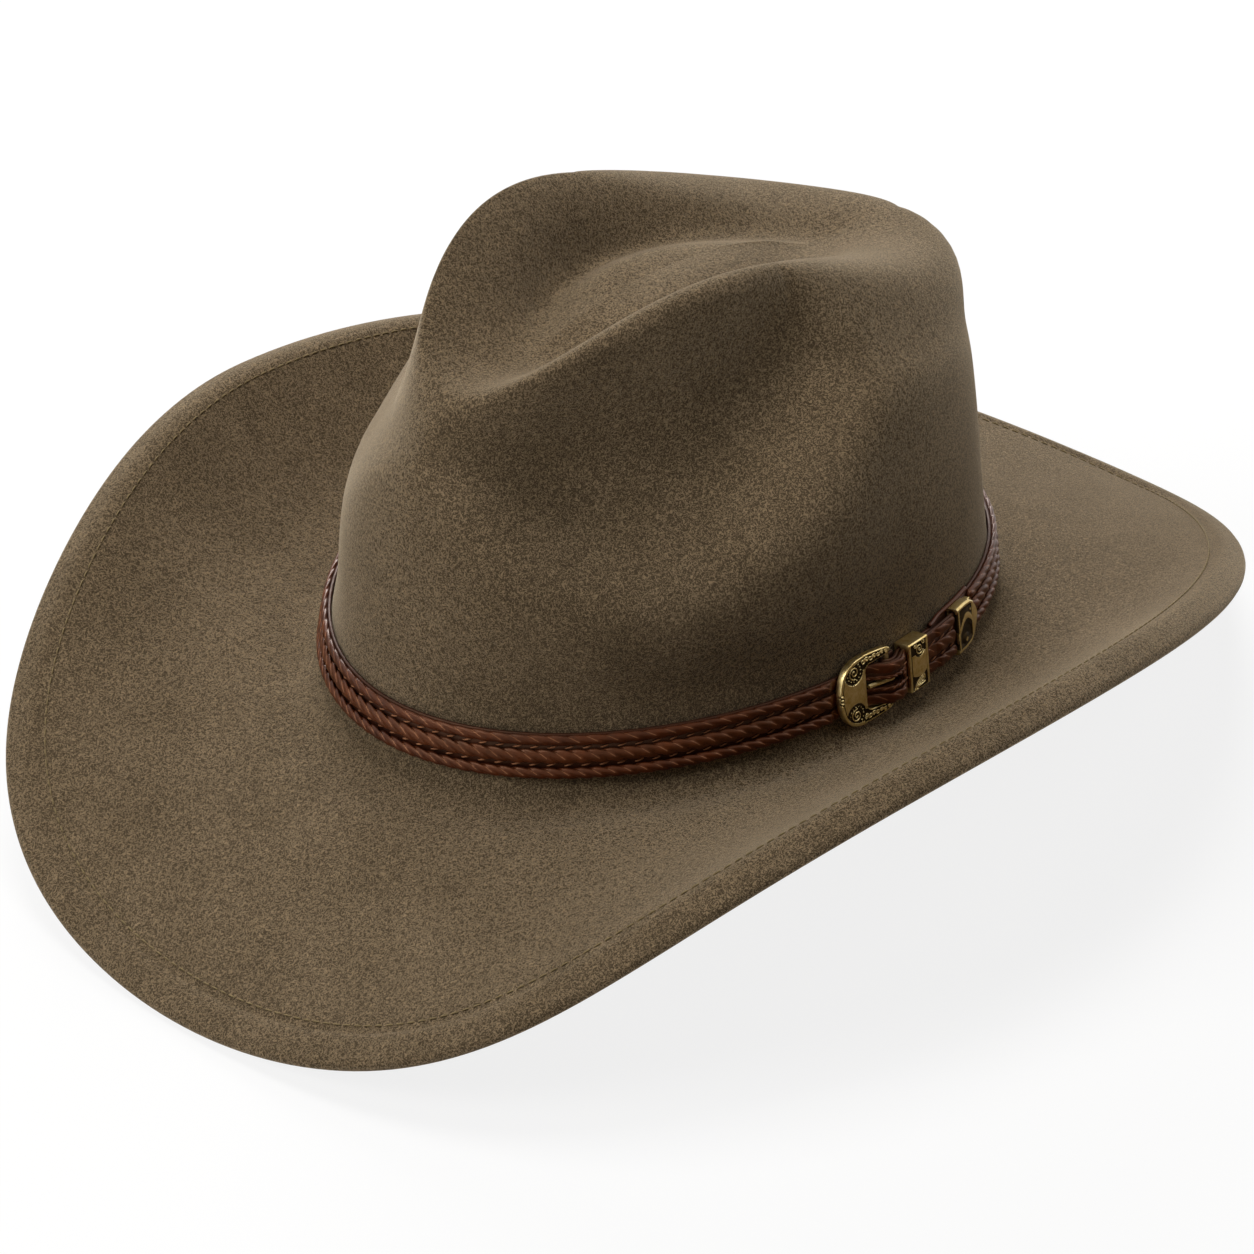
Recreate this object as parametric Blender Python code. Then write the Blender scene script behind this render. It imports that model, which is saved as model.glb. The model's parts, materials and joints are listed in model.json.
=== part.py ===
# Cowboy hat: creased felt crown, rolled brim with a stitched welt, sweatband, lining,
# laced leather band and a three-piece buckle set.
# Metres. The front of the hat is -Y, the wearer's left is +X, +Z is up.
import math

import bmesh
import bpy
import numpy as np
from mathutils import Matrix, Vector

# Clearance between pieces that rest on each other
GAP = 0.0003

# Felt body: head oval at the brim break, measured outside
OVAL_LENGTH = 0.2122
OVAL_WIDTH = 0.1672
OVAL_SIDE_LIFT = 0.0022
FELT = 0.0022
BREAK_RADIUS = 0.0040

# Crown wall: lean per metre of height, with more lean where the front quarters are pinched
WALL_LEAN = 0.1105
QUARTER_LEAN = 0.0541
QUARTER_ANGLE = math.radians(43)
QUARTER_SPREAD = math.radians(31)

# Shoulder: the lip under the side dents, low at the front quarters, rising behind them and low at the rear
SHOULDER_NOSE = 0.0783
SHOULDER_QUARTER = 0.0600
SHOULDER_LIP = 0.0875
SHOULDER_REAR = 0.0600
LIP_START_ANGLE = math.radians(54)
LIP_END_ANGLE = math.radians(102)

# Crown ridge: a teardrop loop seen from above, arched seen from the side, heights above the break
RIDGE_NOSE_SETBACK = 0.0300
RIDGE_REAR_SETBACK = 0.0220
RIDGE_WIDTH = 0.0770
RIDGE_NOSE_TAPER = 0.487
RIDGE_REAR_TAPER = 0.620
RIDGE_NOSE = 0.1050
RIDGE_REAR = 0.0986
RIDGE_ARCH = 0.0270
ARCH_NOSE_POWER = 1.010
ARCH_REAR_POWER = 1.827

# Brow: the roll of felt just outside the ridge
BROW_REACH = 0.0046
BROW_FALL = 0.0058
BROW_NOSE_REACH = 0.0055
BROW_NOSE_SHARE = 0.65
BROW_REAR_REACH = 0.0106

# Side dents under the brow, and the fullness of the crown at nose and rear
SIDE_DENT = 0.0130
DENT_ANGLE = math.radians(50)
DENT_SPREAD = math.radians(39)
DENT_SHARE = 0.55
REAR_FULLNESS = 0.0018
NOSE_FULLNESS = 0.0020
FLANK_FULLNESS = 0.0060
NOSE_POWER = 6
REAR_POWER = 0.5
DENT_POWER = 4

# Top dent: floor heights, and shares of the way in from the ridge to the middle of the floor
FLOOR_HEIGHT = 0.1120
FLOOR_NOSE = 0.0919
FLOOR_REAR = 0.0832
FLOOR_MIDDLE_Y = -0.005
GROOVE = 0.0055
ISLAND_SHARE = 0.68
ISLAND_SINK = 0.15
GROOVE_SHARE = 0.42
GROOVE_DEPTH = 0.95
DENT_WALL_SHARE = 0.23
DENT_WALL_DEPTH = 0.48
NOSE_SOFTNESS = 0.10

# Brim: reach from the oval, dip at front and rear, roll at the sides
BRIM_FRONT = 0.0864
BRIM_REAR = 0.1110
BRIM_SIDE = 0.0678
BRIM_WIDEST_Y = -0.0254
BRIM_DIP = 0.0422
BRIM_ROLL = 0.0345
CORNER_FRONT = 0.322
CORNER_REAR = -0.313
ROUND_FRONT = -0.292
ROUND_REAR = 0.177
BRIM_FLARE = 0.72

# Folded welt at the brim edge
WELT_WIDTH = 0.0100
WELT = 0.0042
WELT_DROP = 0.0045
WELT_DROP_SIDE = 0.0020
HEM_TOP_SHARES = (0.12, 0.5)
HEM_LOW_SHARES = (0.5, 0.06)
LIP_SHARE = 1 / 3
STITCH_GROOVE = 0.0006
WELT_THREAD = 0.0006

# Sweatband, its reed and the row of stitches that holds it
SWEATBAND = 0.0009
SWEATBAND_HEIGHT = 0.036
SWEATBAND_SEAM = 0.0008
SWEATBAND_CLEAR = 0.0006
REED = 0.0018
SWEAT_THREAD = 0.0005
SWEAT_THREAD_HEIGHT = 0.0035
BOW_LENGTH = 0.020
BOW_HEIGHT = 0.007
BOW_THICKNESS = 0.0016
BOW_LIFT = 0.012
BOW_LOBE_POWER = 0.6
BOW_LOBE_DROOP = 0.25
BOW_KNOT = 0.30
BOW_FLAT = 0.55

# Lining
LINING = 0.0005
LINING_CLEAR = 0.0007
LINING_EDGE = 0.030
LINING_SLACK = 0.0020
LINING_SEAM_SHARE = 0.05
LINING_TOP = 0.080
LINING_TOP_LENGTH = 0.100
LINING_TOP_WIDTH = 0.056
LINING_RISE = 0.006

# Hatband strap with its lacing
BAND_SEAT = 0.0064
BAND_WIDTH = 0.0125
STRAP = 0.0010
EDGE_WIDTH = 0.0026
LACE_WIDTH = 0.0056
LACE_HEIGHT = 0.0012
LACE_SETBACK = 0.0010
RAMP = 0.0085

# Buckle set on the wearer's left: frame with its bar, prong, keeper and strap tip
BAR_ANGLE = math.radians(91.5)
BAR_RADIUS = 0.0008
SLIDE_GAP = 0.0004
FRAME_THICKNESS = 0.0018
FRAME_ARM = 0.0036
FRAME_PLATE = 0.0104
FRAME_WINDOW = 0.0086
FRAME_BEVEL = 0.0004
FRAME_CLEAR = 0.0010
BAR_FLAT = 0.86
PRONG_RADIUS = 0.00065
PRONG_EYE_START = math.radians(-200)
PRONG_EYE_END = math.radians(110)
PRONG_RUN = (0.40, 0.60, 0.80, 1.0)
SLOT_REACH = 0.0072
SLOT_BACK = 0.0029
FOLD_TAB = 0.0042
KEEPER_START = 0.0062
KEEPER_LENGTH = 0.0085
KEEPER_TRAVEL = 0.0050
KEEPER_WALL = 0.0008
KEEPER_FACE = 0.0010
KEEPER_RELIEF = 0.0008
KEEPER_CLEAR = 0.0004
TIP_START = 0.0305
TIP_LENGTH = 0.0130
TIP_SOCKET = 0.0085
TIP_SLACK = 0.0010
TIP_BACK = 0.0007
TIP_FACE = 0.0009
TIP_SIDE = 0.0006
# along the tip, how far its sides are drawn in
TIP_PROFILE = ((0.0, 1.0), (0.35, 1.0), (0.62, 0.93), (0.82, 0.72), (0.94, 0.42), (1.0, 0.16))

# Half outlines of the frame: shares of bar radius, window and plate along it, of the window's half and the arm across it
FRAME_OUTER = (
    (1, 0, 0, 0, 0), (1, 0, 0, 0.5, 0), (1, 0, 0, 0.9, 0), (0, 0.05, 0, 1, 0.62), (0, 0.5, 0, 1, 0.82),
    (0, 1, 0, 1, 1), (0, 1, 0.45, 1, 1), (0, 1, 0.80, 0.80, 0.80), (0, 1, 0.95, 0.42, 0.42), (0, 1, 1, 0, 0))
FRAME_INNER = (
    (-1, 0, 0, 0, 0), (-1, 0, 0, 0.5, 0), (-1, 0, 0, 0.98, 0), (0, 0.25, 0, 1, 0), (0, 0.50, 0, 1, 0),
    (0, 0.80, 0, 1, 0), (0, 0.96, 0, 0.96, 0), (0, 1, 0, 0.75, 0), (0, 1, 0, 0.38, 0), (0, 1, 0, 0, 0))

# Facets
COLUMNS = 48
PROFILE_STEPS = 90
SEAT_STEPS = 720
SWEATBAND_ROWS = 5
BOW_STATIONS = 13
BOW_SIDES = 8
FOLD_STEPS = 9
EYE_STEPS = 15
BEAD_SIDES = 5
SMALL_TURN = 1e-4
FELT_STEPS = (2, 2, 2, 2, 3, 2, 3, 3, 1, 1, 1, 2, 1, 1, 1, 1, 1)

HALF_LENGTH = OVAL_LENGTH / 2
HALF_WIDTH = OVAL_WIDTH / 2
RIDGE_NOSE_Y = RIDGE_NOSE_SETBACK - HALF_LENGTH
RIDGE_REAR_Y = HALF_LENGTH - RIDGE_REAR_SETBACK

# The felt's control rows, from the middle of the top dent to the welt's seam
CROWN_ROWS = ("middle", "island", "groove", "dent wall", "ridge", "brow", "side dent", "shoulder",
              "lining edge", "band top", "band seat", "break")
BRIM_ROWS = (0.07, 0.20, 0.40, 0.60, 0.80, 1.00)
LINING_RINGS = (0.0, 0.55, 1.0)


# Curves and small helpers

def ease(t):
    t = np.clip(t, 0.0, 1.0)
    return t * t * (3.0 - 2.0 * t)


def mix(a, b, t):
    return a + (b - a) * t


def unit(v):
    return v / np.linalg.norm(v, axis=-1, keepdims=True)


def spline_knots(points):
    steps = np.linalg.norm(np.diff(points, axis=0), axis=-1).mean(axis=-1)
    return np.concatenate([[0.0], np.cumsum(np.sqrt(steps))])


def spline(points, s):
    # natural cubic through rows of points, all columns at once, at knot values s
    p = np.asarray(points)
    t = spline_knots(p)
    h = np.diff(t)
    last = len(p) - 1
    matrix = np.eye(len(p))
    right = np.zeros_like(p)
    for i in range(1, last):
        matrix[i, i - 1:i + 2] = h[i - 1], 2 * (h[i - 1] + h[i]), h[i]
        right[i] = 6 * ((p[i + 1] - p[i]) / h[i] - (p[i] - p[i - 1]) / h[i - 1])
    bend = np.tensordot(np.linalg.inv(matrix), right, axes=1)
    i = np.clip(np.searchsorted(t, s, side="right") - 1, 0, last - 1)
    a = ((t[i + 1] - s) / h[i])[:, None, None]
    b = ((s - t[i]) / h[i])[:, None, None]
    sixth = (h[i] ** 2)[:, None, None] / 6
    return a * p[i] + b * p[i + 1] + ((a ** 3 - a) * bend[i] + (b ** 3 - b) * bend[i + 1]) * sixth


# Felt surface. phi runs round the hat: 0 at the front, a quarter turn at the wearer's left.

def oval(phi):
    x = HALF_WIDTH * np.sin(phi)
    y = -HALF_LENGTH * np.cos(phi)
    z = -OVAL_SIDE_LIFT * np.cos(2 * phi)
    return np.stack([x, y, z], -1)


def outward(phi):
    flat = oval(phi) * np.array([1.0, 1.0, 0.0])
    return unit(flat)


def wall(phi, height):
    base = oval(phi)
    off_quarter = (np.abs(phi) - QUARTER_ANGLE) / QUARTER_SPREAD
    lean = WALL_LEAN + QUARTER_LEAN * np.exp(-off_quarter ** 2)
    p = base - outward(phi) * (lean * height)[:, None]
    p[:, 2] = base[:, 2] * (1 - ease(height / SHOULDER_QUARTER)) + height
    return p


def shoulder(phi):
    turn = np.abs(phi)
    nose = ease(1 - turn / QUARTER_ANGLE)
    lip = ease((turn - LIP_START_ANGLE) / (LIP_END_ANGLE - LIP_START_ANGLE))
    rear = ease((turn - LIP_END_ANGLE) / (math.pi - LIP_END_ANGLE))
    front_height = mix(SHOULDER_QUARTER, SHOULDER_NOSE, nose)
    return front_height + (SHOULDER_LIP - SHOULDER_QUARTER) * lip + (SHOULDER_REAR - SHOULDER_LIP) * rear


def hump(t, rise, fall):
    # runs 0 to 1 to 0 over t, with its own power at each end
    peak = rise / (rise + fall)
    return (t / peak) ** rise * ((1 - t) / (1 - peak)) ** fall


def ridge(phi):
    t = (1 - np.cos(phi)) / 2
    x = np.sign(np.sin(phi)) * RIDGE_WIDTH / 2 * hump(t, RIDGE_NOSE_TAPER, RIDGE_REAR_TAPER)
    y = mix(RIDGE_NOSE_Y, RIDGE_REAR_Y, t)
    z = mix(RIDGE_NOSE, RIDGE_REAR, t) + RIDGE_ARCH * hump(t, ARCH_NOSE_POWER, ARCH_REAR_POWER)
    return np.stack([x, y, z], -1)


def dent_floor(y):
    front = (FLOOR_HEIGHT - FLOOR_NOSE) * (y / RIDGE_NOSE_Y) ** 2
    rear = (FLOOR_HEIGHT - FLOOR_REAR) * (y / RIDGE_REAR_Y) ** 2
    return FLOOR_HEIGHT - np.where(y < 0, front, rear)


def dent_point(phi, inward, depth, groove):
    # a point between the ridge and the middle of the teardrop floor
    top = ridge(phi)
    p = top.copy()
    p[:, 0] *= 1 - inward
    p[:, 1] = mix(top[:, 1], FLOOR_MIDDLE_Y, inward)
    p[:, 2] = mix(top[:, 2], dent_floor(p[:, 1]), depth) - groove
    return p


def crown_controls(phi):
    # one row of points for each name in CROWN_ROWS
    c = np.cos(phi)
    s = np.abs(np.sin(phi))
    soft = NOSE_SOFTNESS * np.clip(c, 0, 1) ** 2
    rear = np.clip(-c, 0, 1) ** REAR_POWER
    nose = np.clip(c, 0, 1) ** NOSE_POWER
    flank = FLANK_FULLNESS * np.clip(-2 * c * s, 0, 1)
    scoop = np.exp(-((np.abs(phi) - DENT_ANGLE) / DENT_SPREAD) ** DENT_POWER)
    out = outward(phi)
    top = ridge(phi)
    edge = wall(phi, shoulder(phi))
    reach = BROW_REACH + BROW_REAR_REACH * rear + BROW_NOSE_REACH * nose + flank
    brow = top + out * reach[:, None]
    brow[:, 2] -= BROW_FALL * mix(1, BROW_NOSE_SHARE, nose)
    push = REAR_FULLNESS * rear + NOSE_FULLNESS * nose - SIDE_DENT * scoop
    dent = mix(edge, brow, DENT_SHARE) + out * push[:, None]
    heights = (LINING_EDGE, BAND_SEAT + BAND_WIDTH, BAND_SEAT, BREAK_RADIUS)
    return [
        dent_point(phi, np.ones_like(c), 1.0, 0.0),
        dent_point(phi, ISLAND_SHARE + soft, 1.0, ISLAND_SINK * GROOVE * s),
        dent_point(phi, GROOVE_SHARE + soft, GROOVE_DEPTH, GROOVE * s),
        dent_point(phi, DENT_WALL_SHARE + soft, DENT_WALL_DEPTH, 0.0),
        top,
        brow,
        dent,
        edge,
        *[wall(phi, np.full_like(phi, height)) for height in heights],
    ]


def brim_edge(phi):
    c = np.cos(phi)
    s = np.abs(np.sin(phi))
    front_y = -HALF_LENGTH - BRIM_FRONT
    rear_y = HALF_LENGTH + BRIM_REAR
    rear = ease((1 - c) / 2)
    corner = mix(CORNER_FRONT, CORNER_REAR, rear) + mix(ROUND_FRONT, ROUND_REAR, rear) * s * s
    x = (HALF_WIDTH + BRIM_SIDE) * np.sin(phi) * (1 + corner * c * c)
    y = BRIM_WIDEST_Y + (front_y - BRIM_WIDEST_Y) * np.clip(c, 0, 1) + (rear_y - BRIM_WIDEST_Y) * np.clip(-c, 0, 1)
    z = -BRIM_DIP + (BRIM_ROLL + BRIM_DIP) * s * s
    return np.stack([x, y, z], -1)


def edge_run(phi):
    return brim_edge(phi + SMALL_TURN) - brim_edge(phi - SMALL_TURN)


def stitch_line(phi):
    # the welt's seam, one welt width in from the brim edge
    along = edge_run(phi) * np.array([1.0, 1.0, 0.0])
    inward = unit(np.cross(np.array([0.0, 0.0, 1.0]), unit(along)))
    p = brim_edge(phi) + inward * WELT_WIDTH
    p[:, 2] += mix(WELT_DROP, WELT_DROP_SIDE, np.sin(phi) ** 2)
    return p


def brim_point(phi, u):
    # u runs from the break to the welt's seam; the sides start flat and curl, front and rear slope down
    base = oval(phi)
    seam = stitch_line(phi)
    slope = BRIM_FLARE * (1 - ease(np.sin(phi) ** 2))
    p = mix(base, seam, u)
    p[:, 2] = mix(base[:, 2], seam[:, 2], slope * u + (1 - slope) * u * u)
    return p


def felt_controls(phi):
    return crown_controls(phi) + [brim_point(phi, u) for u in BRIM_ROWS]


def felt_rows(phi):
    # upper surface from the middle of the dent to the welt's seam
    controls = felt_controls(phi)
    knots = spline_knots(np.asarray(controls))
    at = [np.linspace(a, b, n, endpoint=False) for a, b, n in zip(knots, knots[1:], FELT_STEPS)]
    return spline(controls, np.append(np.concatenate(at), knots[-1]))


def felt_row(name):
    # row number at which a control row of the crown lies
    return sum(FELT_STEPS[:CROWN_ROWS.index(name)])


def surface_normals(rows):
    # rows closed round the hat; the first row is a single point in the middle of the dent
    step = unit(np.diff(rows, axis=0))
    down = np.concatenate([step[:1], step[:-1] + step[1:], step[-1:]])
    around = np.roll(rows, -1, axis=1) - np.roll(rows, 1, axis=1)
    normal = np.cross(down, around)
    normal[0] = np.array([0.0, 0.0, 1.0])
    return unit(normal)


def columns(count):
    turn = np.arange(count) * (2 * math.pi / count)
    return np.where(turn > math.pi, turn - 2 * math.pi, turn)


def wall_loop(phi, height, inset):
    # the felt wall at one height above the break, moved inward by inset
    controls = felt_controls(phi)
    knots = spline_knots(np.asarray(controls))
    start, end = CROWN_ROWS.index("shoulder"), len(CROWN_ROWS)
    profile = spline(controls, np.linspace(knots[start], knots[end], PROFILE_STEPS))
    level = oval(phi)[:, 2] * (1 - ease(height / SHOULDER_QUARTER)) + height
    points = np.empty((len(phi), 3))
    for j in range(len(phi)):
        falling = profile[:int(np.argmin(profile[:, j, 2])) + 1, j]
        for axis in (0, 1):
            points[j, axis] = np.interp(-level[j], -falling[:, 2], falling[:, axis])
    points[:, 2] = level
    return points - outward(phi) * inset


# Mesh building

def clear_scene():
    for item in list(bpy.data.objects):
        bpy.data.objects.remove(item, do_unlink=True)


def material(name, colour, roughness, metallic=0.0):
    made = bpy.data.materials.new(name)
    made.use_nodes = True
    shader = made.node_tree.nodes["Principled BSDF"]
    shader.inputs["Base Color"].default_value = (*colour, 1.0)
    shader.inputs["Roughness"].default_value = roughness
    shader.inputs["Metallic"].default_value = metallic
    return made


def add_object(name, data, finish, parent):
    made = bpy.data.objects.new(name, data)
    bpy.context.scene.collection.objects.link(made)
    made.data.materials.append(finish)
    made.parent = parent
    return made


def mesh_object(name, bm, finish, parent, smooth_deg=40):
    bmesh.ops.recalc_face_normals(bm, faces=bm.faces)
    data = bpy.data.meshes.new(name)
    bm.to_mesh(data)
    bm.free()
    data.shade_smooth()
    data.set_sharp_from_angle(angle=math.radians(smooth_deg))
    return add_object(name, data, finish, parent)


def loft(rows, closed_rows=False, closed_columns=True, capped=False):
    # skin between rows of points; a row with one point is a pole
    bm = bmesh.new()
    rings = [[bm.verts.new(Vector(map(float, p))) for p in row] for row in rows]
    pairs = list(zip(rings, rings[1:]))
    if closed_rows:
        pairs.append((rings[-1], rings[0]))
    for upper, lower in pairs:
        count = max(len(upper), len(lower))
        for j in range(count if closed_columns else count - 1):
            k = (j + 1) % count
            if len(upper) == 1:
                corners = (upper[0], lower[j], lower[k])
            elif len(lower) == 1:
                corners = (upper[j], lower[0], upper[k])
            else:
                corners = (upper[j], lower[j], lower[k], upper[k])
            bm.faces.new(corners)
    if capped:
        bm.faces.new(rings[0])
        bm.faces.new(list(reversed(rings[-1])))
    return bm


def ring_tube(name, points, diameter, finish, parent, cyclic=True, resolution=0):
    curve = bpy.data.curves.new(name, "CURVE")
    curve.dimensions = "3D"
    curve.bevel_depth = diameter / 2
    curve.bevel_resolution = resolution
    curve.use_fill_caps = True
    run = curve.splines.new("POLY")
    run.points.add(len(points) - 1)
    for knot, p in zip(run.points, points):
        knot.co = (*map(float, p), 1.0)
    run.use_cyclic_u = cyclic
    return add_object(name, curve, finish, parent)


def box_cutter(name, matrix, low, high, parent):
    bm = bmesh.new()
    bmesh.ops.create_cube(bm, size=1.0)
    for v in bm.verts:
        v.co = Vector(mix(np.array(low), np.array(high), np.array(v.co) + 0.5))
    data = bpy.data.meshes.new(name)
    bm.to_mesh(data)
    bm.free()
    cutter = bpy.data.objects.new(name, data)
    bpy.context.scene.collection.objects.link(cutter)
    cutter.parent = parent
    cutter.matrix_local = matrix
    cutter.hide_render = True
    cutter.display_type = "WIRE"
    return cutter


def cut(piece, cutter):
    step = piece.modifiers.new(cutter.name, "BOOLEAN")
    step.operation = "DIFFERENCE"
    step.solver = "EXACT"
    step.object = cutter


# Felt body

def felt_solid(phi):
    upper = felt_rows(phi)
    normal = surface_normals(upper)
    lower = upper - normal * FELT
    groove = upper[-1] - normal[-1] * STITCH_GROOVE
    edge = brim_edge(phi)
    seam = upper[-1]
    hem_normal = hem_normals(phi)
    outer = unit(edge - seam)
    lip = WELT * LIP_SHARE
    hem_top = [mix(seam, edge, t) for t in HEM_TOP_SHARES]
    top_lip = edge - outer * lip
    nose = edge - hem_normal * (WELT / 2)
    low_lip = edge - outer * lip - hem_normal * WELT
    hem_low = [mix(seam, edge, t) - hem_normal * WELT for t in HEM_LOW_SHARES]
    rows = [upper[0][:1], *upper[1:-1], groove, *hem_top, top_lip, nose, low_lip, *hem_low]
    rows += [*lower[1:][::-1], lower[0][:1]]
    ground = min(row[:, 2].min() for row in rows)
    return rows, ground


def hem_normals(phi):
    return unit(np.cross(brim_edge(phi) - stitch_line(phi), edge_run(phi)))


def welt_thread_points(phi):
    upper = felt_rows(phi)
    lift = GAP + WELT_THREAD / 2 - STITCH_GROOVE
    return upper[-1] + surface_normals(upper)[-1] * lift


# Inside of the crown

def sweatband_inset():
    return FELT + LINING_CLEAR + LINING + SWEATBAND_CLEAR


def sweatband_rows(phi):
    # the strip follows the felt wall inside the lining's tuck; its lower edge sits at the break
    inset = sweatband_inset()
    heights = np.linspace(BREAK_RADIUS, BREAK_RADIUS + SWEATBAND_HEIGHT, SWEATBAND_ROWS)
    outer = [wall_loop(phi, h, inset) for h in heights]
    inner = [wall_loop(phi, h, inset + SWEATBAND) for h in heights]
    return outer, inner


def sweatband_columns():
    half_seam = SWEATBAND_SEAM / 2 / HALF_WIDTH
    phi = columns(COLUMNS)
    phi = np.sort(phi[np.abs(phi) < math.pi - half_seam])
    return np.concatenate([[-math.pi + half_seam], phi, [math.pi - half_seam]])


def build_sweatband(parent, leather, tape, thread):
    outer, inner = sweatband_rows(sweatband_columns())
    section = np.stack(outer + inner[::-1], axis=1)
    mesh_object("sweatband", loft(section, closed_columns=True, capped=True), leather, parent)
    phi = columns(COLUMNS)
    middle = sweatband_inset() + SWEATBAND / 2
    below = np.array([0.0, 0.0, GAP + REED / 2])
    reed = wall_loop(phi, BREAK_RADIUS, middle) - below
    ring_tube("sweatband_reed", reed, REED, tape, parent, resolution=1)
    face = sweatband_inset() + SWEATBAND + GAP + SWEAT_THREAD / 2
    stitch_height = BREAK_RADIUS + SWEAT_THREAD_HEIGHT
    ring_tube("sweatband_thread", wall_loop(phi, stitch_height, face), SWEAT_THREAD, thread, parent)
    build_bow(parent, tape, face)


def build_bow(parent, tape, inset):
    # a flat ribbon bow over the sweatband's rear seam: two lobes and a knot
    seat = wall_loop(np.array([math.pi]), BREAK_RADIUS + BOW_LIFT, inset)[0]
    stations = np.linspace(-1, 1, BOW_STATIONS)
    rows = []
    for t in stations:
        lobe = math.sin(math.pi * abs(t)) ** BOW_LOBE_POWER * (1 - BOW_LOBE_DROOP * abs(t))
        half = BOW_HEIGHT / 2 * max(lobe, BOW_KNOT)
        bulge = BOW_THICKNESS / 2 * mix(BOW_FLAT, 1.0, lobe)
        angles = np.arange(BOW_SIDES) * (2 * math.pi / BOW_SIDES)
        x = np.full(BOW_SIDES, t * BOW_LENGTH / 2)
        sag = x ** 2 / (2 * HALF_WIDTH ** 2 / HALF_LENGTH)
        y = -BOW_THICKNESS / 2 - sag + bulge * np.cos(angles)
        rows.append(seat + np.stack([x, y, half * np.sin(angles)], -1))
    mesh_object("sweatband_bow", loft(rows, capped=True), tape, parent)


def lining_surface(phi, inset):
    # the side strip follows the felt wall; the tip leaves it at the shoulder and hangs clear below the creases
    upper = felt_rows(phi)
    normal = surface_normals(upper)
    under = upper - normal * inset
    side = under[felt_row("shoulder") + 1:felt_row("lining edge") + 1]
    seam = side[0] - (side[1] - side[0]) * LINING_SEAM_SHARE - outward(phi) * GAP
    row = felt_row("shoulder")
    corner = under[row] - normal[row] * LINING_SLACK
    tip = []
    for share in LINING_RINGS:
        x = share * LINING_TOP_WIDTH / 2 * np.sin(phi)
        y = FLOOR_MIDDLE_Y - share * LINING_TOP_LENGTH / 2 * np.cos(phi)
        z = np.full_like(phi, LINING_TOP + LINING_RISE * (1 - share ** 2) - inset)
        tip.append(np.stack([x, y, z], -1))
    return side, [*tip, corner, seam]


def build_lining(phi, parent, satin):
    # two sewn pieces: the side strip and the shaped tip
    side, tip = lining_surface(phi, FELT + LINING_CLEAR)
    side_in, tip_in = lining_surface(phi, FELT + LINING_CLEAR + LINING)
    mesh_object("lining_side", loft([*side, *side_in[::-1]], closed_rows=True), satin, parent, 60)
    bm = loft([tip[0][:1], *tip[1:], *tip_in[1:][::-1], tip_in[0][:1]])
    bmesh.ops.triangulate(bm, faces=bm.faces)
    mesh_object("lining_tip", bm, satin, parent, 60)


# Hatband: places on the crown wall given by distance along the band (s), out from the felt (n), up (u)

class BandSeat:
    def __init__(self):
        self.phi = np.arange(SEAT_STEPS) * (2 * math.pi / SEAT_STEPS)
        signed = np.where(self.phi > math.pi, self.phi - 2 * math.pi, self.phi)
        self.low = wall_loop(signed, BAND_SEAT, 0.0)
        self.high = wall_loop(signed, BAND_SEAT + BAND_WIDTH, 0.0)
        middle = (self.low + self.high) / 2
        closed = np.concatenate([middle, middle[:1]])
        self.run = np.concatenate([[0.0], np.cumsum(np.linalg.norm(np.diff(closed, axis=0), axis=1))])
        self.length = self.run[-1]
        self.start = np.interp(BAR_ANGLE, np.append(self.phi, 2 * math.pi), self.run)

    def sample(self, loop, s):
        where = (np.asarray(s) + self.start) % self.length
        closed = np.concatenate([loop, loop[:1]])
        return np.stack([np.interp(where, self.run, closed[:, k]) for k in range(3)], -1)

    def facets(self, low, high):
        # distances at which the felt's own columns lie, between low and high
        turns = np.arange(2 * COLUMNS + 1) * (2 * math.pi / COLUMNS)
        laps = turns // (2 * math.pi)
        s = np.interp(turns % (2 * math.pi), np.append(self.phi, 2 * math.pi), self.run)
        s = s + laps * self.length - self.start
        return s[(s > low) & (s < high)]

    def axes(self, s):
        step = 0.002
        low = self.sample(self.low, s)
        high = self.sample(self.high, s)
        along = unit(self.sample(self.low, s + step) - self.sample(self.low, s - step))
        up = unit(high - low)
        out = unit(np.cross(along, up))
        return along, unit(np.cross(out, along)), out

    def place(self, s, n, u):
        s, n, u = np.broadcast_arrays(np.asarray(s, float), n, u)
        low = self.sample(self.low, s)
        high = self.sample(self.high, s)
        share = (u / BAND_WIDTH + 0.5)[..., None]
        return mix(low, high, share) + self.axes(s)[2] * n[..., None]

    def frame(self, s0, n0, s1, n1):
        # rigid frame with its origin at (s1, n1), x towards it from (s0, n0), y up the band, z outward
        a = self.place(s0, n0, 0.0)
        b = self.place(s1, n1, 0.0)
        x = unit(b - a)
        up = self.axes((s0 + s1) / 2)[1]
        z = unit(np.cross(x, up))
        y = np.cross(z, x)
        made = Matrix.Identity(4)
        for k, column in enumerate((x, y, z, b)):
            for row in range(3):
                made[row][k] = float(column[row])
        return made


# Heights of the strap's middle above the felt at its stages
LEVEL_BASE = GAP + STRAP / 2
LEVEL_BAR = GAP + max(STRAP, 2 * PRONG_RADIUS) + GAP + BAR_RADIUS
FOLD_RADIUS = BAR_RADIUS + GAP + STRAP / 2
LEVEL_FOLD_TOP = LEVEL_BAR + FOLD_RADIUS
LEVEL_TAIL_BAR = LEVEL_FOLD_TOP + STRAP + GAP
LEVEL_UNDER_KEEPER = KEEPER_CLEAR + KEEPER_WALL + SLIDE_GAP + STRAP / 2
LEVEL_TAIL = LEVEL_UNDER_KEEPER + STRAP + GAP
LEVEL_PLATE = LEVEL_BASE + STRAP / 2 + FRAME_CLEAR + FRAME_THICKNESS / 2
TIP_END = TIP_START + TIP_LENGTH
TAIL_END = TIP_START + TIP_SOCKET
KEEPER_END = KEEPER_START + KEEPER_LENGTH
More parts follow.
